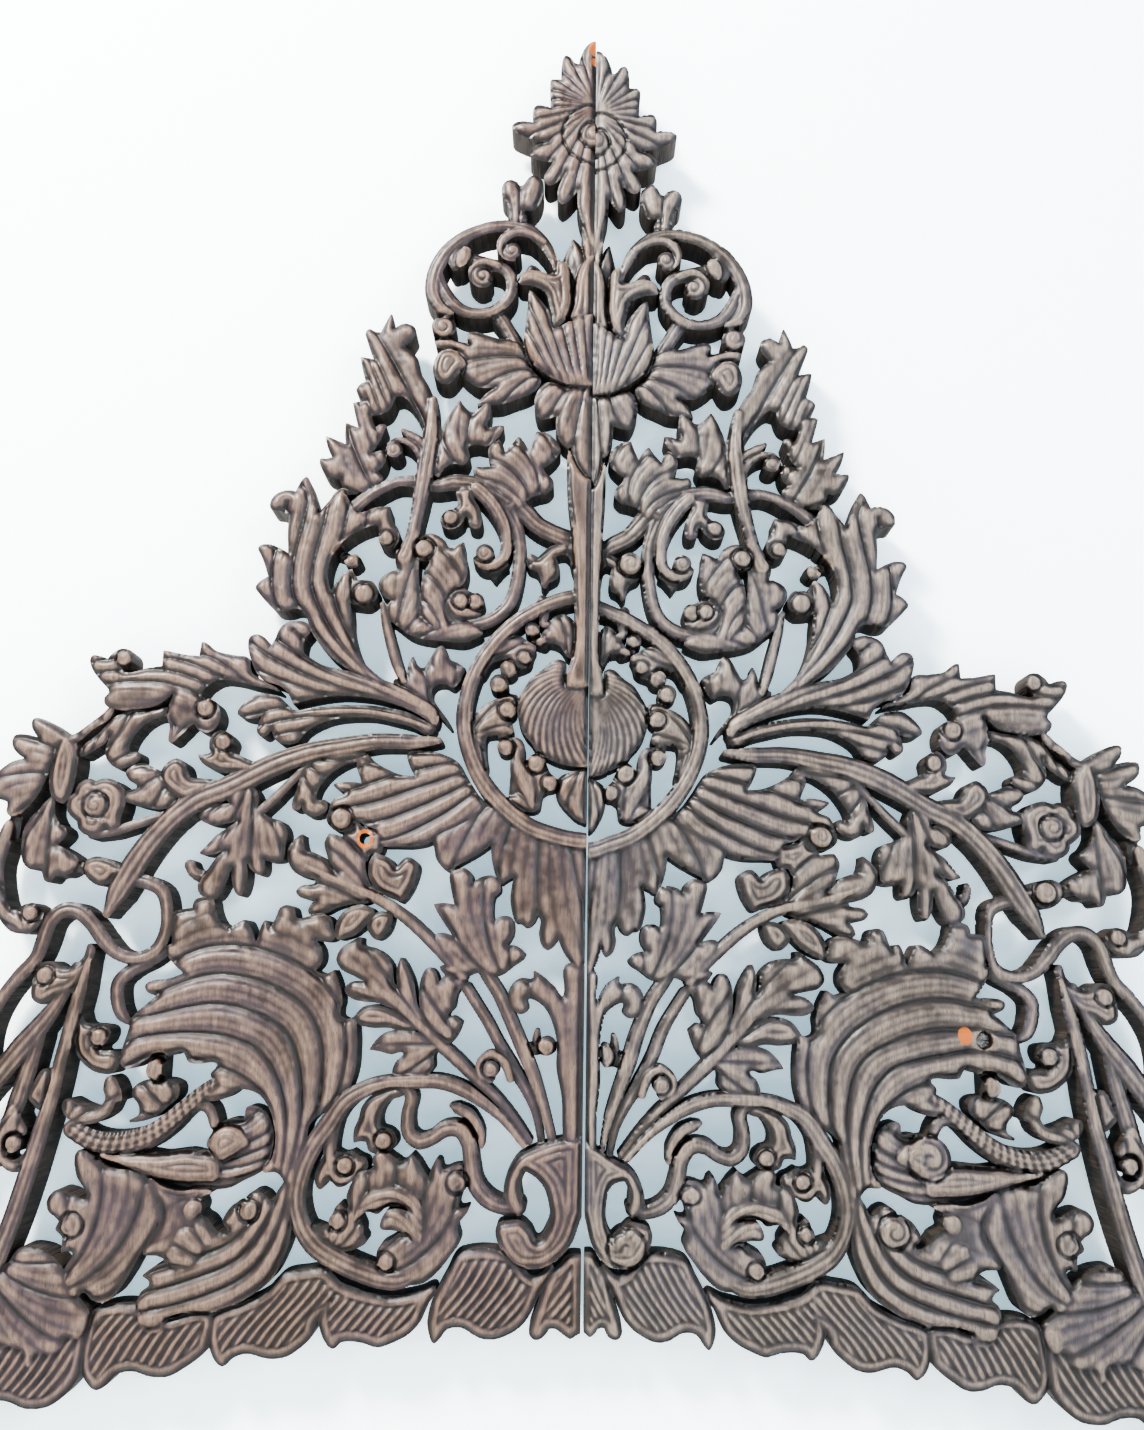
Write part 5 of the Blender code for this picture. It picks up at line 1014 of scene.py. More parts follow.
def band_distance(points, grid_u, grid_z):
    """At each grid point: distance inside the band's edge, place across it (-1 to 1), length along it."""
    line = curve_through(points, closed=False)
    steps = np.linspace(0, len(points) - 1, len(line))
    widths = np.interp(steps, np.arange(len(points)), [point[2] for point in points])
    best = np.full(grid_u.shape, -1e9)
    across = np.zeros(grid_u.shape)
    along = np.zeros(grid_u.shape)
    travelled = 0.0
    for index in range(len(line) - 1):
        u0, z0 = line[index]
        du, dz = line[index + 1] - line[index]
        size = du * du + dz * dz
        length = math.sqrt(size)
        if length < TINY:
            continue
        t = np.clip(((grid_u - u0) * du + (grid_z - z0) * dz) / size, 0, 1)
        off_u = grid_u - u0 - t * du
        off_z = grid_z - z0 - t * dz
        half = (widths[index] + (widths[index + 1] - widths[index]) * t) / 2
        away = np.sqrt(off_u**2 + off_z**2)
        inside = half - away
        side = np.sign(du * off_z - dz * off_u) * away / half
        better = inside > best
        best = np.where(better, inside, best)
        across = np.where(better, side, across)
        along = np.where(better, travelled + t * length, along)
        travelled += length
    return best, across, along


# ---------------------------------------------------------------- the relief


class Relief:
    """Height and joined outline of a board, over a grid of (outward, up)."""

    def __init__(self):
        self.u = np.arange(U_LOW, U_HIGH, PITCH)
        self.z = np.arange(Z_LOW, Z_HIGH, PITCH)
        self.height = np.zeros((len(self.z), len(self.u)))
        self.inside = np.full(self.height.shape, -9.0)

    def window(self, low_u, high_u, low_z, high_z, margin=3.0):
        first_u, last_u = np.searchsorted(self.u, (low_u - margin, high_u + margin))
        first_z, last_z = np.searchsorted(self.z, (low_z - margin, high_z + margin))
        place = (slice(first_z, last_z), slice(first_u, last_u))
        return place, *np.meshgrid(self.u[place[1]], self.z[place[0]])

    def lay(self, place, distance, height):
        """Lays a motif over what is there: the higher of the two shows, with a narrow slope at its edge."""
        self.inside[place] = np.maximum(self.inside[place], distance)
        slope = smoothstep(distance, -0.6 * PITCH, 0.6 * PITCH)
        self.height[place] = np.maximum(self.height[place], height * slope)

    def carve(self, place, depth):
        self.height[place] -= depth * (self.height[place] > 0)


def line_distance(points, grid_u, grid_z):
    """Distance of each grid point to an open line."""
    line = curve_through(points, closed=False)
    nearest = np.full(grid_u.shape, 1e9)
    for (u0, z0), (u1, z1) in zip(line[:-1], line[1:]):
        du, dz = u1 - u0, z1 - z0
        t = np.clip(((grid_u - u0) * du + (grid_z - z0) * dz) / (du * du + dz * dz), 0, 1)
        np.minimum(nearest, (grid_u - u0 - t * du) ** 2 + (grid_z - z0 - t * dz) ** 2, out=nearest)
    return np.sqrt(nearest)


def grooves(phase, spacing, depth):
    """How deep the surface lies between round ribs; the ribs meet in sharp valleys at whole phases."""
    valley = 1 - np.abs(np.sin(np.pi * phase)) ** VALLEY_SHARPNESS
    return np.minimum(depth, 0.3 * spacing) * smoothstep(spacing, 1.0, FINEST_FLUTE) * valley


def leaf_grooves(name, distance, grid_u, grid_z):
    """A leaf's cuts: a fan from its root, ribs between two guide lines, or grooves along its rim."""
    if name in FANS:
        root_u, root_z, count, twist = FANS[name]
        away = np.hypot(grid_u - root_u, grid_z - root_z)
        angle = np.arctan2(grid_z - root_z, grid_u - root_u) + twist * away / 100
        phase = count * angle / np.pi
        spacing = away * np.pi / count
        fine = HAIRLINES_PER_FLUTE
        return grooves(phase, spacing, FLUTE_DEPTH) + grooves(fine * phase, spacing / fine, HAIRLINE_DEPTH)
    if name in FLOWS:
        one_side, other_side, count = FLOWS[name]
        first = line_distance(one_side, grid_u, grid_z)
        second = line_distance(other_side, grid_u, grid_z)
        gap = np.maximum(first + second, 0.5)
        main = grooves(count * first / gap, gap / count, RIB_DEPTH)
        fine = HAIRLINES_PER_RIB * count
        return main + grooves(fine * first / gap, gap / fine, HAIRLINE_DEPTH)
    wave = 0.5 - 0.5 * np.cos(2 * np.pi * distance / RIM_FLUTE_SPACING)
    return RIM_FLUTE_DEPTH * wave**1.5


def add_outline(relief, name, top, points):
    line = curve_through(points, closed=True)
    low_u, low_z = line.min(axis=0)
    high_u, high_z = line.max(axis=0)
    place, grid_u, grid_z = relief.window(low_u, high_u, low_z, high_z)
    distance = outline_distance(line, grid_u, grid_z)
    if name.startswith("lappet"):
        height = lappet_height(distance, grid_u, grid_z, top)
    else:
        reach = min(EDGE_REACH, distance.max())
        height = top + LEAF_SWELL - rounded_drop(distance, reach, EDGE_DROP * reach / EDGE_REACH)
        height -= leaf_grooves(name, distance, grid_u, grid_z) * smoothstep(distance, 0.8, 2.4)
    relief.lay(place, distance, height)


def lappet_height(distance, grid_u, grid_z, top):
    """A border lappet: a swelling cushion with slanting ridges and a plain rolled lip."""
    height = top + LEAF_SWELL - rounded_drop(distance, LAPPET_EDGE_REACH, LAPPET_EDGE_DROP)
    phase = grid_u + LAPPET_SLANT * grid_z + LAPPET_WAVE * np.sin(grid_z / LAPPET_WAVE_LENGTH)
    ridges = 0.5 + 0.5 * np.cos(2 * np.pi * phase / LAPPET_RIDGE_SPACING)
    field = smoothstep(distance, LAPPET_LIP - 1, LAPPET_LIP + 1.5)
    groove = np.exp(-((distance - LAPPET_LIP) / LAPPET_GROOVE_WIDTH) ** 2)
    return height - LAPPET_RIDGE_HEIGHT * field * (1 - ridges**1.6) - LAPPET_GROOVE_DEPTH * groove


def add_band(relief, name, top, points):
    reach = max(point[2] for point in points) / 2
    us = [point[0] for point in points]
    zs = [point[1] for point in points]
    place, grid_u, grid_z = relief.window(min(us), max(us), min(zs), max(zs), margin=reach + 3)
    distance, across, along = band_distance(points, grid_u, grid_z)
    height = top + BAND_SWELL - BAND_DROP * np.abs(across) ** 3
    if reach > RIDGED_FROM:
        height += BAND_RIDGE * np.cos(3 * np.pi * across) - BAND_RIDGE_SINK
        if name in ROPES:
            turn = along / TWIST_LENGTH + TWIST_SLANT * across
            height += TWIST_HEIGHT * np.cos(2 * np.pi * turn)
    relief.lay(place, distance, height)


def add_boss(relief, outward, up, radius, top):
    place, grid_u, grid_z = relief.window(outward - radius, outward + radius, up - radius, up + radius)
    away = np.hypot(grid_u - outward, grid_z - up)
    beyond = away - radius - BOSS_GROOVE_OUTSIDE
    relief.carve(place, BOSS_GROOVE_DEPTH * np.exp(-((beyond / BOSS_GROOVE_WIDTH) ** 2)))
    share = np.clip(away / radius, 0, 1)
    height = top - BOSS_DOME * radius * (1 - np.sqrt(1 - ALMOST_ONE * share**2))
    if radius > COILED_FROM:
        angle = np.arctan2(grid_z - up, grid_u - outward)
        turns = away / (radius / COIL_TURNS) - angle / (2 * np.pi)
        coil = np.exp(-(((turns - np.round(turns)) / COIL_LINE_WIDTH) ** 2))
        height -= COIL_DEPTH * coil * smoothstep(away, 1.0, 2.5)
    relief.lay(place, radius - away, np.where(away < radius, height, 0))


def base_relief():
    relief = Relief()
    for name, top, points in OUTLINES:
        add_outline(relief, name, top, points)
    for name, top, points in BANDS:
        add_band(relief, name, top, points)
    for boss in BOSSES:
        add_boss(relief, *boss)
    return relief


def hand_shift(grid_u, grid_z):
    """The right board's shift at spots of the left board's pattern."""
    total = np.full(grid_u.shape, TINY)
    shift_u = np.zeros(grid_u.shape)
    shift_z = np.zeros(grid_u.shape)
    for outward, up, along_u, along_z in HAND_SHIFTS:
        near = ((grid_u - outward) ** 2 + (grid_z - up) ** 2) / SHIFT_REACH**2
        weight = np.exp(-near / 2) + FAR_WEIGHT * np.exp(-near / (2 * FAR_SPREAD**2))
        total += weight
        shift_u += weight * along_u
        shift_z += weight * along_z
    ramp = np.clip(grid_u / SHIFT_SEAM_RAMP, 0, 1)
    return shift_u / total * ramp, shift_z / total


def sampled(field, relief, at_u, at_z):
    """The field between grid points, by linear interpolation."""
    i = np.clip((at_u - U_LOW) / PITCH, 0, len(relief.u) - 1.001)
    j = np.clip((at_z - Z_LOW) / PITCH, 0, len(relief.z) - 1.001)
    i0 = i.astype(int)
    j0 = j.astype(int)
    fi = i - i0
    fj = j - j0
    low = field[j0, i0] * (1 - fi) + field[j0, i0 + 1] * fi
    high = field[j0 + 1, i0] * (1 - fi) + field[j0 + 1, i0 + 1] * fi
    return low * (1 - fj) + high * fj


def shifted_relief(relief):
    """The right board's relief: the left board's, moved by the hand shifts."""
    grid_u, grid_z = np.meshgrid(relief.u, relief.z)
    from_u, from_z = grid_u.copy(), grid_z.copy()
    for _ in range(3):
        shift_u, shift_z = hand_shift(from_u, from_z)
        from_u = grid_u - shift_u
        from_z = grid_z - shift_z
    moved = Relief()
    moved.height = sampled(relief.height, relief, from_u, from_z)
    moved.inside = sampled(relief.inside, relief, from_u, from_z)
    for coil in RIGHT_COILS:
        add_boss(moved, *coil)
    return moved


def blurred(field, mask, passes):
    """The field averaged over its neighbours inside the mask."""
    total = np.where(mask, field, 0.0)
    weight = mask.astype(float)
    for _ in range(passes):
        for axis in (0, 1):
            total = (np.roll(total, 1, axis) + 2 * total + np.roll(total, -1, axis)) / 4
            weight = (np.roll(weight, 1, axis) + 2 * weight + np.roll(weight, -1, axis)) / 4
    return total / np.maximum(weight, 1e-6)


def value_noise(shape, cell, seed):
    """Smooth noise from -1 to 1, with bumps about one cell across."""
    random = np.random.default_rng(seed)
    rows = int(shape[0] * PITCH / cell) + 3
    columns = int(shape[1] * PITCH / cell) + 3
    lattice = random.uniform(-1, 1, (rows, columns))
    at_j = np.arange(shape[0])[:, None] * PITCH / cell
    at_i = np.arange(shape[1])[None, :] * PITCH / cell
    j0 = at_j.astype(int)
    i0 = at_i.astype(int)
    fj = smoothstep(at_j - j0, 0, 1)
    fi = smoothstep(at_i - i0, 0, 1)
    low = lattice[j0, i0] * (1 - fi) + lattice[j0, i0 + 1] * fi
    high = lattice[j0 + 1, i0] * (1 - fi) + lattice[j0 + 1, i0 + 1] * fi
    return low * (1 - fj) + high * fj


def finished_relief(relief, side):
    """Trims the board at the seam and the holes, evens the edges and adds the unevenness of handwork."""
    grid_u, grid_z = np.meshgrid(relief.u, relief.z)
    seam = np.interp(relief.z, (SEAM_STRAIGHT_BELOW, SEAM_STRAIGHT_ABOVE), (SEAM_GAP_LOW, SEAM_GAP_TOP))
    relief.inside = np.minimum(relief.inside, grid_u - seam[:, None])
    hole = LEFT_HOLE if side == LEFT else RIGHT_HOLE
    away = np.hypot(grid_u - hole[0], grid_z - hole[1])
    relief.inside = np.minimum(relief.inside, away - BORE_RADIUS)
    if side == RIGHT:
        relief.height = np.where(away < COUNTERBORE_RADIUS, COUNTERBORE_FLOOR, relief.height)
    solid = relief.inside > 0.75 * PITCH
    for _ in range(SPREAD_CELLS):
        spread = blurred(relief.height, solid, 1)
        grown = solid.copy()
        for step, axis in ((1, 0), (-1, 0), (1, 1), (-1, 1)):
            grown |= np.roll(solid, step, axis)
        relief.height = np.where(grown & ~solid, spread, relief.height)
        solid = grown
    broad, fine = (height * value_noise(grid_u.shape, size, seed + side) for height, size, seed in UNEVENNESS)
    relief.height += broad + fine
    mask = relief.inside > -2 * PITCH
    relief.height = np.clip(blurred(relief.height, mask, 1), THINNEST, FRONT_LIMIT)
    return relief


# ---------------------------------------------------------------- the meshes

# The pieces that each board is made as: (name, least outward, most outward, lowest, highest).
PIECES = [
    ("finial", -10, 510, 905, 1200),
    ("crown", -10, 510, 780, 905),
    ("upper_leaves", -10, 510, 610, 780),
    ("medallion", -10, 205, 430, 610),
    ("wing_crest", 205, 510, 430, 610),
    ("bouquet", -10, 165, 205, 430),
    ("big_plume", 165, 335, 205, 430),
    ("wing_stems", 335, 510, 205, 430),
    ("inner_border", -10, 200, -10, 205),
    ("outer_border", 200, 510, -10, 205),
]


def region_of(grid_u, grid_z):
    """Which piece of the board each cell belongs to, as an index into PIECES."""
    index = np.zeros(grid_u.shape, int)
    for number, (_, low_u, high_u, low_z, high_z) in enumerate(PIECES):
        here = (grid_u >= low_u) & (grid_u < high_u) & (grid_z >= low_z) & (grid_z < high_z)
        index[here] = number
    return index


def without_point_contacts(kept):
    """Fills one cell wherever two kept cells touch only at a corner."""
    while True:
        a = kept[:-1, :-1]
        b = kept[:-1, 1:]
        c = kept[1:, :-1]
        d = kept[1:, 1:]
        falling = a & d & ~b & ~c
        rising = b & c & ~a & ~d
        if not (falling.any() or rising.any()):
            return kept
        kept[:-1, 1:] |= falling
        kept[:-1, :-1] |= rising


def rim_edges(kept, vertex_of):
    """The directed edges round the kept cells, with the cells on their left."""
    edges = []
    padded = np.pad(kept, 1)
    below = kept & ~padded[:-2, 1:-1]
    above = kept & ~padded[2:, 1:-1]
    before = kept & ~padded[1:-1, :-2]
    after = kept & ~padded[1:-1, 2:]
    for cells, start, end in (
        (below, (0, 0), (0, 1)),
        (after, (0, 1), (1, 1)),
        (above, (1, 1), (1, 0)),
        (before, (1, 0), (0, 0)),
    ):
        j, i = np.nonzero(cells)
        edges.append(np.stack([vertex_of[j + start[0], i + start[1]], vertex_of[j + end[0], i + end[1]]], 1))
    return np.vstack(edges)


def loops_of(edges):
    """The closed loops that the directed edges make."""
    following = dict(map(tuple, edges.tolist()))
    loops = []
    while following:
        start, here = following.popitem()
        loop = [start]
        while here != start:
            loop.append(here)
            here = following.pop(here)
        loops.append(loop)
    return loops


def back_faces(loops, flat):
    """Triangles over the flat back, inside the outer rims and outside the inner ones, on rim points only."""
    spots = [Vector(flat[index]) for loop in loops for index in loop]
    names = [index for loop in loops for index in loop]
    faces = []
    start = 0
    sizes = []
    for loop in loops:
        outline = flat[loop]
        ahead = np.roll(outline, -1, axis=0)
        sizes.append((outline[:, 0] * ahead[:, 1] - ahead[:, 0] * outline[:, 1]).sum() / 2)
        order = list(range(start, start + len(loop)))
        faces.append(order if sizes[-1] > 0 else order[::-1])
        start += len(loop)
    laid = delaunay_2d_cdt(spots, [], faces, TRIANGLES_INSIDE, MERGE_DISTANCE)
    outer = {number for number, size in enumerate(sizes) if size > 0}
    holes = set(range(len(sizes))) - outer
    kept = []
    for triangle, owners in zip(laid[2], laid[5]):
        owners = set(owners)
        if owners & outer and not owners & holes:
            kept.append([names[laid[3][corner][0]] for corner in triangle])
    return kept


def raw_wood(side, outward, up):
    """How bare the orange wood lies at each point: a worn ring round the fixing hole, and chipped spots."""
    bare = np.zeros(len(outward))
    for chip_side, chip_u, chip_z, radius in RAW_SPOTS:
        if chip_side == side:
            away = np.hypot(outward - chip_u, (up - chip_z) * 0.8)
            bare = np.maximum(bare, smoothstep(radius - away, -1.5, 1.5))
    return bare


def carved_piece(name, side, relief, cavity, kept, materials):
    """A closed solid: the carved front over the kept cells, walls round their rim, and the flat back."""
    kept = without_point_contacts(kept)
    used = np.zeros((kept.shape[0] + 1, kept.shape[1] + 1), bool)
    for dj in (0, 1):
        for di in (0, 1):
            used[dj : dj + kept.shape[0], di : di + kept.shape[1]] |= kept
    vertex_of = np.full(used.shape, -1)
    vertex_of[used] = np.arange(used.sum())
    j, i = np.nonzero(used)
    edges = rim_edges(kept, vertex_of)
    flat = np.stack([relief.u[i], relief.z[j]], 1)
    closing = back_faces(loops_of(edges), flat)
    on_rim = np.zeros(len(flat), bool)
    on_rim[edges[:, 0]] = True
    inside = relief.inside[j, i]
    slope_z, slope_u = (slope[j, i] for slope in np.gradient(relief.inside, PITCH))
    steep = np.maximum(np.hypot(slope_u, slope_z), 0.3)
    move = np.where(on_rim & (inside < 1.5 * PITCH), np.clip(inside / steep, 0, 0.85 * PITCH), 0)
    flat[:, 0] -= slope_u / steep * move
    flat[:, 1] -= slope_z / steep * move
    front = np.stack([flat[:, 0] * side, -relief.height[j, i], flat[:, 1]], 1)
    rim = np.unique(edges)
    back_of = np.full(len(front), -1)
    back_of[rim] = len(front) + np.arange(len(rim))
    back = np.stack([flat[rim, 0] * side, np.zeros(len(rim)), flat[rim, 1]], 1)
    cj, ci = np.nonzero(kept)
    corners = [vertex_of[cj, ci], vertex_of[cj, ci + 1], vertex_of[cj + 1, ci + 1], vertex_of[cj + 1, ci]]
    quads = np.stack(corners, 1)
    walls = np.stack([edges[:, 0], back_of[edges[:, 0]], back_of[edges[:, 1]], edges[:, 1]], 1)
    faces = quads.tolist() + walls.tolist()
    faces += [[back_of[corner] for corner in face[::-1]] for face in closing]
    if side == LEFT:
        faces = [face[::-1] for face in faces]
    points = np.vstack([front, back])
    bare = raw_wood(side, points[:, 0] * side, points[:, 2])
    points += (ORIGIN_LEFT_OF_SEAM, 0, -ORIGIN_HEIGHT)
    mesh = bpy.data.meshes.new(name)
    mesh.from_pydata(points * MM, [], faces)
    for material in materials:
        mesh.materials.append(material)
    mesh.polygons.foreach_set("material_index", [0] * len(quads) + [1] * len(walls) + [2] * len(closing))
    raw = mesh.attributes.new("raw", "FLOAT", "POINT")
    raw.data.foreach_set("value", bare)
    depth = mesh.attributes.new("cavity", "FLOAT", "POINT")
    depth.data.foreach_set("value", np.concatenate([cavity[j, i], np.zeros(len(rim))]))
    mesh.shade_smooth()
    mesh.set_sharp_from_angle(angle=SHARP_ANGLE)
    piece = bpy.data.objects.new(name, mesh)
    bpy.context.scene.collection.objects.link(piece)
    return piece


def carved_board(prefix, node, side, relief, materials):
    """All the pieces of one board: closed solids side by side, each named for its motif."""
    relief = finished_relief(relief, side)
    whole = relief.inside > 0
    # The cavity lightens the worn ridges and paints shade into the hollows.
    broad = blurred(relief.height, whole, int(CAVITY_REACH / PITCH))
    cavity = np.clip((relief.height - broad) / CAVITY_DEPTH, -1, 1)
    cells = whole[:-1, :-1] & whole[:-1, 1:] & whole[1:, :-1] & whole[1:, 1:]
    grid_u, grid_z = np.meshgrid(relief.u[:-1], relief.z[:-1])
    regions = region_of(grid_u, grid_z)
    for number, (part, *_) in enumerate(PIECES):
        kept = cells & (regions == number)
        piece = carved_piece(f"{prefix}_{part}", side, relief, cavity, kept, materials)
        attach(piece, "root")
        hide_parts(node)


# ---------------------------------------------------------------- materials


class Nodes:
    """Short ways to add and link shader nodes."""

    def __init__(self, material):
        material.use_nodes = True
        self.tree = material.node_tree
        self.shader = self.tree.nodes["Principled BSDF"]

    def add(self, kind, **values):
        node = self.tree.nodes.new(kind)
        for key, value in values.items():
            setattr(node, key, value)
        return node

    def link(self, source, target):
        self.tree.links.new(source, target)

    def noise(self, vector, scale, detail=4.0, rough=0.55, distortion=0.0):
        node = self.add("ShaderNodeTexNoise")
        node.inputs["Scale"].default_value = scale
        node.inputs["Detail"].default_value = detail
        node.inputs["Roughness"].default_value = rough
        node.inputs["Distortion"].default_value = distortion
        self.link(vector, node.inputs["Vector"])
        return node.outputs["Fac"]

    def stretched(self, scale):
        coordinates = self.add("ShaderNodeTexCoord")
        mapping = self.add("ShaderNodeMapping")
        mapping.inputs["Scale"].default_value = scale
        self.link(coordinates.outputs["Object"], mapping.inputs["Vector"])
        return mapping.outputs["Vector"]

    def ramp(self, value, *stops):
        node = self.add("ShaderNodeValToRGB")
        elements = node.color_ramp.elements
        while len(elements) < len(stops):
            elements.new(0.5)
        for element, (place, colour) in zip(elements, stops):
            element.position = place
            element.color = (*colour, 1.0) if isinstance(colour, tuple) else (colour, colour, colour, 1.0)
        self.link(value, node.inputs["Fac"])
        return node.outputs["Color"]

    def mix(self, fac, first, second, blend="MIX"):
        node = self.add("ShaderNodeMix", data_type="RGBA", blend_type=blend)
        for socket, value in ((0, fac), (6, first), (7, second)):
            if isinstance(value, bpy.types.NodeSocket):
                self.link(value, node.inputs[socket])
            elif isinstance(value, tuple):
                node.inputs[socket].default_value = (*value, 1.0)
            else:
                node.inputs[socket].default_value = value
        return node.outputs[2]

    def math(self, operation, first, second=0.0, third=0.0):
        node = self.add("ShaderNodeMath", operation=operation)
        for socket, value in zip(node.inputs, (first, second, third)):
            if isinstance(value, bpy.types.NodeSocket):
                self.link(value, socket)
            else:
                socket.default_value = value
        return node.outputs[0]


def weathered_wood(name, mid, ridge, recess_shade, patina):
    """Bare, weathered carved hardwood: worn ridges, blotches of dirt, hollows painted near-black as shade,
    patches of a cool patina, fine pores.
    """
    material = bpy.data.materials.new(name)
    n = Nodes(material)
    cavity = n.add("ShaderNodeAttribute", attribute_name="cavity").outputs["Fac"]
    plain = n.stretched((1.0, 1.0, 1.0))
    along = n.stretched((1.0, 1.0, 0.12))
    patches = n.noise(plain, 14.0, 3.0)
    blotches = n.noise(plain, 55.0, 4.0)
    streaks = n.noise(along, 420.0, 3.0, 0.6)
    pores = n.noise(along, 1500.0, 2.0, 0.5)
    # Dirt blotches plus the cavity: worn ridges where high, painted shade where low.
    wear_dirt_and_shade = n.math("ADD", cavity, n.math("MULTIPLY_ADD", blotches, 0.7, -0.35))
    base = n.mix(n.ramp(patches, (0.38, 0.0), (0.62, 1.0)), mid, patina)
    base = n.mix(n.ramp(wear_dirt_and_shade, (0.0, 0.0), (0.5, 1.0)), base, ridge)
    # The hollows go near-black: painted shade, broken by the dirt blotches.
    dark = n.ramp(n.math("MULTIPLY_ADD", wear_dirt_and_shade, 0.5, 0.5), (0.2, 1.0), (0.5, 0.0))
    base = n.mix(dark, base, recess_shade)
    base = n.mix(n.ramp(streaks, (0.3, 0.55), (0.62, 0.0)), base, tuple(0.55 * c for c in mid))
    base = n.mix(n.ramp(pores, (0.3, 0.5), (0.42, 0.0)), base, tuple(0.3 * c for c in mid))
    bare = n.add("ShaderNodeAttribute", attribute_name="raw").outputs["Fac"]
    frayed = n.math("MULTIPLY_ADD", bare, 1.2, n.math("MULTIPLY_ADD", blotches, 0.8, -0.9))
    base = n.mix(n.ramp(frayed, (0.3, 0.0), (0.5, 1.0)), base, RAW_ORANGE)
    n.link(base, n.shader.inputs["Base Color"])
    n.link(n.ramp(blotches, (0.3, 0.36), (0.7, 0.6)), n.shader.inputs["Roughness"])
    height = n.math("MULTIPLY_ADD", streaks, 0.6, n.math("MULTIPLY", pores, 0.4))
    bump = n.add("ShaderNodeBump")
    bump.inputs["Strength"].default_value = 0.5
    bump.inputs["Distance"].default_value = 0.0006
    n.link(height, bump.inputs["Height"])
    n.link(bump.outputs["Normal"], n.shader.inputs["Normal"])
    return material


def bare_wood(name, dark, pale):
    """Plain wood with saw marks, for the cut sides of the piercings and for the back; the copy for the cut
    sides is far darker than the back, as painted shade.
    """
    material = bpy.data.materials.new(name)
    n = Nodes(material)
    marks = n.noise(n.stretched((1.0, 0.15, 1.0)), 260.0, 4.0)
    tone = n.ramp(marks, (0.3, dark), (0.7, pale))
    n.link(tone, n.shader.inputs["Base Color"])
    n.shader.inputs["Roughness"].default_value = 0.75
    return material


def tarnished_steel():
    material = bpy.data.materials.new("tarnished_steel")
    n = Nodes(material)
    spots = n.noise(n.stretched((1.0, 1.0, 1.0)), 600.0, 4.0)
    tone = n.ramp(spots, (0.35, (0.05, 0.04, 0.035)), (0.65, (0.22, 0.21, 0.2)))
    n.link(tone, n.shader.inputs["Base Color"])
    n.link(n.ramp(spots, (0.3, 0.55), (0.7, 0.3)), n.shader.inputs["Roughness"])
    n.shader.inputs["Metallic"].default_value = 0.9
    return material


def painted_wall():
    """A pale wall that glows a little, seen only from its front, so that it hides nothing from behind."""
    material = bpy.data.materials.new("pale_wall")
    n = Nodes(material)
    n.shader.inputs["Base Color"].default_value = (0.93, 0.93, 0.925, 1.0)
    # The bluish glow is painted light: it brightens the wall where the panel shades it.
    n.shader.inputs["Emission Color"].default_value = (0.56, 0.84, 1.0, 1.0)
    n.shader.inputs["Emission Strength"].default_value = 0.5
    n.shader.inputs["Roughness"].default_value = 0.9
    behind = n.add("ShaderNodeNewGeometry").outputs["Backfacing"]
    clear = n.add("ShaderNodeBsdfTransparent")
    mixed = n.add("ShaderNodeMixShader")
    n.link(behind, mixed.inputs[0])
    n.link(n.shader.outputs[0], mixed.inputs[1])
    n.link(clear.outputs[0], mixed.inputs[2])
    n.link(mixed.outputs[0], n.tree.nodes["Material Output"].inputs["Surface"])
    return material


# ---------------------------------------------------------------- stage, light and camera


def plane(name, size, location, rotation, material):
    bpy.ops.mesh.primitive_plane_add(size=size, location=location, rotation=rotation)
    flat = bpy.context.object
    flat.name = name
    flat.data.materials.append(material)
    return flat


def stage():
    wall = painted_wall()
    plane("wall", STAGE_SIZE, (0, WALL_GAP, 0.5), (math.pi / 2, 0, 0), wall)
    floor = bpy.data.materials.new("pale_floor")
    Nodes(floor).shader.inputs["Base Color"].default_value = (0.8, 0.8, 0.79, 1.0)
    plane("floor", STAGE_SIZE, (0, 0, cad_low.z - FLOOR_GAP), (0, 0, 0), floor)


def area_light(name, location, target, size, power, colour):
    data = bpy.data.lights.new(name, "AREA")
    data.shape = "RECTANGLE"
    data.size, data.size_y = size
    data.energy = power
    data.color = colour
    lamp = bpy.data.objects.new(name, data)
    lamp.location = location
    lamp.rotation_mode = "QUATERNION"
    lamp.rotation_quaternion = (Vector(target) - Vector(location)).to_track_quat("-Z", "Y")
    bpy.context.scene.collection.objects.link(lamp)


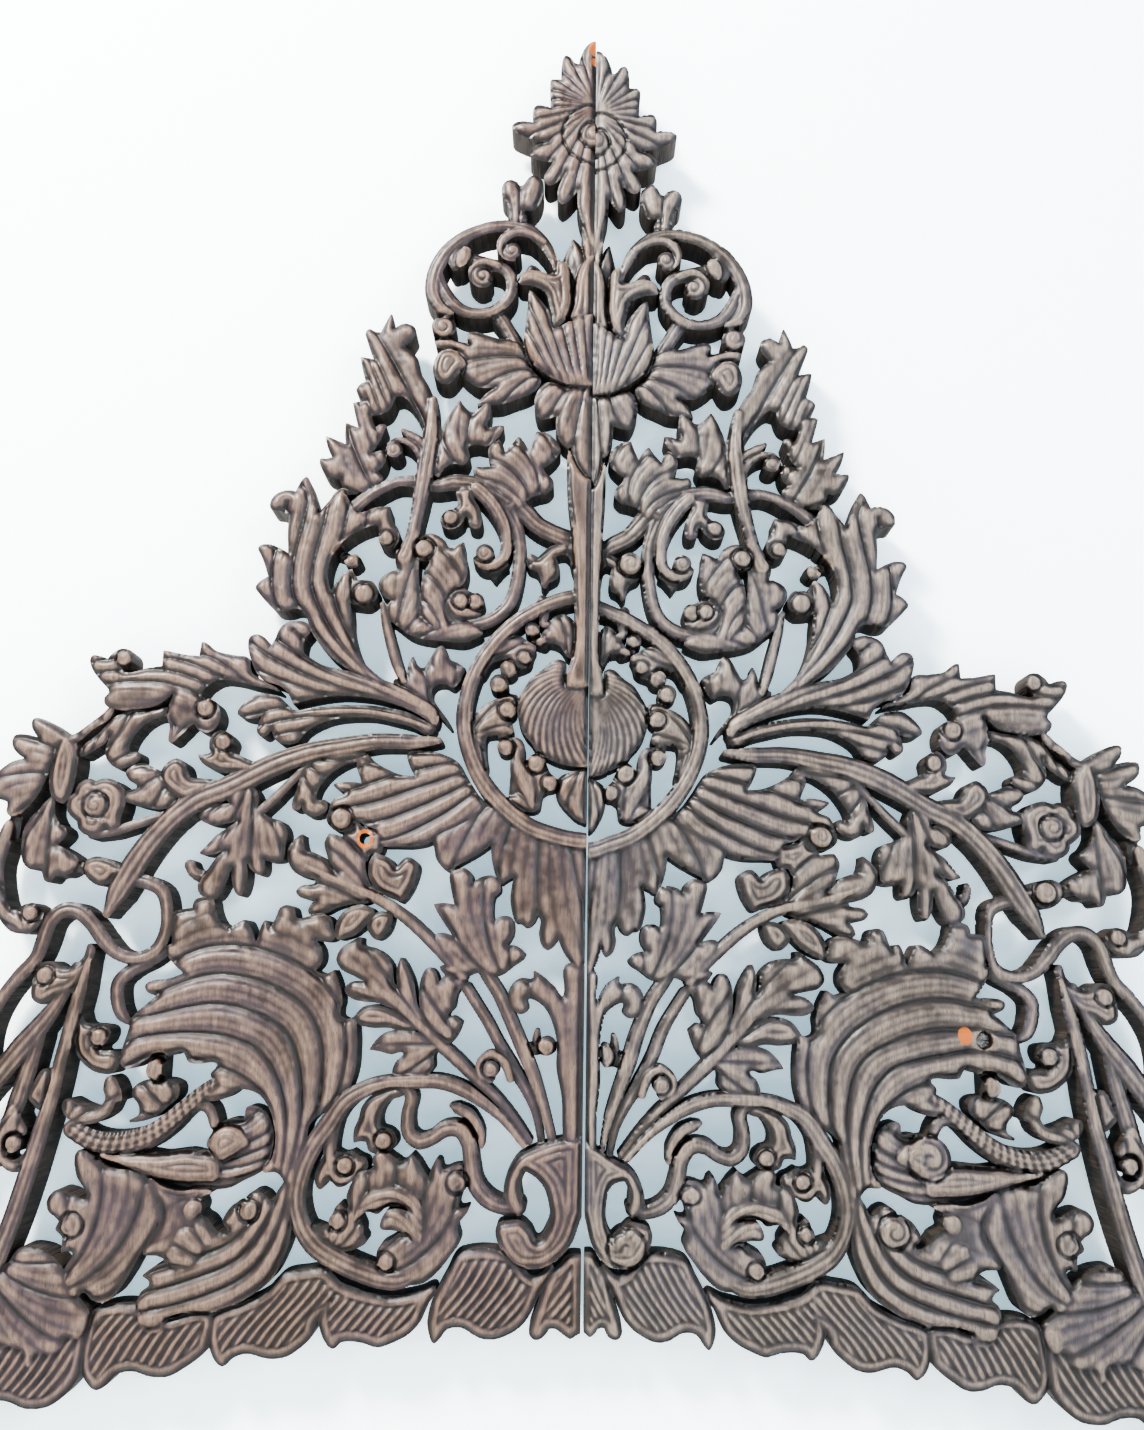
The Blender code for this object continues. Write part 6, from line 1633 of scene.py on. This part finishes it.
def lights():
    middle = (0.0, 0.0, -0.25)
    area_light("window", (-1.3, -1.5, 1.5), middle, (0.6, 0.6), 165.0, (1.0, 0.96, 0.90))
    area_light("fill", (2.0, -2.2, 0.4), middle, (1.2, 1.2), 52.0, (0.88, 0.93, 1.0))
    area_light("behind", (0.5, 2.5, 1.0), middle, (2.0, 2.0), 110.0, (1.0, 1.0, 1.0))
    world = bpy.data.worlds.new("studio")
    world.use_nodes = True
    background = world.node_tree.nodes["Background"]
    background.inputs["Color"].default_value = (0.68, 0.86, 1.0, 1.0)
    background.inputs["Strength"].default_value = 0.9
    bpy.context.scene.world = world


# How far the camera looks up, and how far it leans to one side, in degrees.
CAMERA_TILT = 11.5217
CAMERA_LEAN = 0.79


def camera():
    """Close in front of the panel and low, tilted up, with a slight lean."""
    data = bpy.data.cameras.new("camera")
    data.lens = 32.73
    data.sensor_width = 36.0
    eye = bpy.data.objects.new("camera", data)
    tilt = math.radians(CAMERA_TILT)
    lean = math.radians(CAMERA_LEAN)
    forward = Vector((0, math.cos(tilt), math.sin(tilt)))
    level = Vector((1, 0, 0))
    upright = Vector((0, -math.sin(tilt), math.cos(tilt)))
    right = math.cos(lean) * level + math.sin(lean) * upright
    up = math.cos(lean) * upright - math.sin(lean) * level
    axes = Matrix((right, up, -forward)).transposed()
    eye.matrix_world = Matrix.Translation((-0.00046, -0.966, -0.47906)) @ axes.to_4x4()
    bpy.context.scene.collection.objects.link(eye)
    bpy.context.scene.camera = eye


bpy.context.scene.view_settings.look = "AgX - High Contrast"
camera()
lights()
stage()

# The near-black recess colours are painted shade in the hollows.
brown = weathered_wood(
    "brown_wood",
    mid=(0.034, 0.0190, 0.0135),
    ridge=(0.165, 0.108, 0.079),
    recess_shade=(0.002, 0.0015, 0.0015),
    patina=(0.046, 0.027, 0.034),
)
grey = weathered_wood(
    "grey_wood",
    mid=(0.035, 0.0245, 0.0200),
    ridge=(0.185, 0.143, 0.115),
    recess_shade=(0.0025, 0.002, 0.0022),
    patina=(0.052, 0.041, 0.050),
)

pattern = base_relief()
mirrored = shifted_relief(pattern)
# The cut sides are a far darker copy of the back's wood: painted shade.
shaded_cut_sides = bare_wood("shaded_sawn_edge", (0.012, 0.008, 0.006), (0.055, 0.038, 0.028))
plain_back = bare_wood("plain_back", (0.10, 0.066, 0.045), (0.24, 0.17, 0.12))
carved_board("left", "left_carved_half", LEFT, pattern, (brown, shaded_cut_sides, plain_back))
carved_board("right", "right_carved_half", RIGHT, mirrored, (grey, shaded_cut_sides, plain_back))

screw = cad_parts["right_fixing_screw"]
screw.data.materials.clear()
screw.data.materials.append(tarnished_steel())
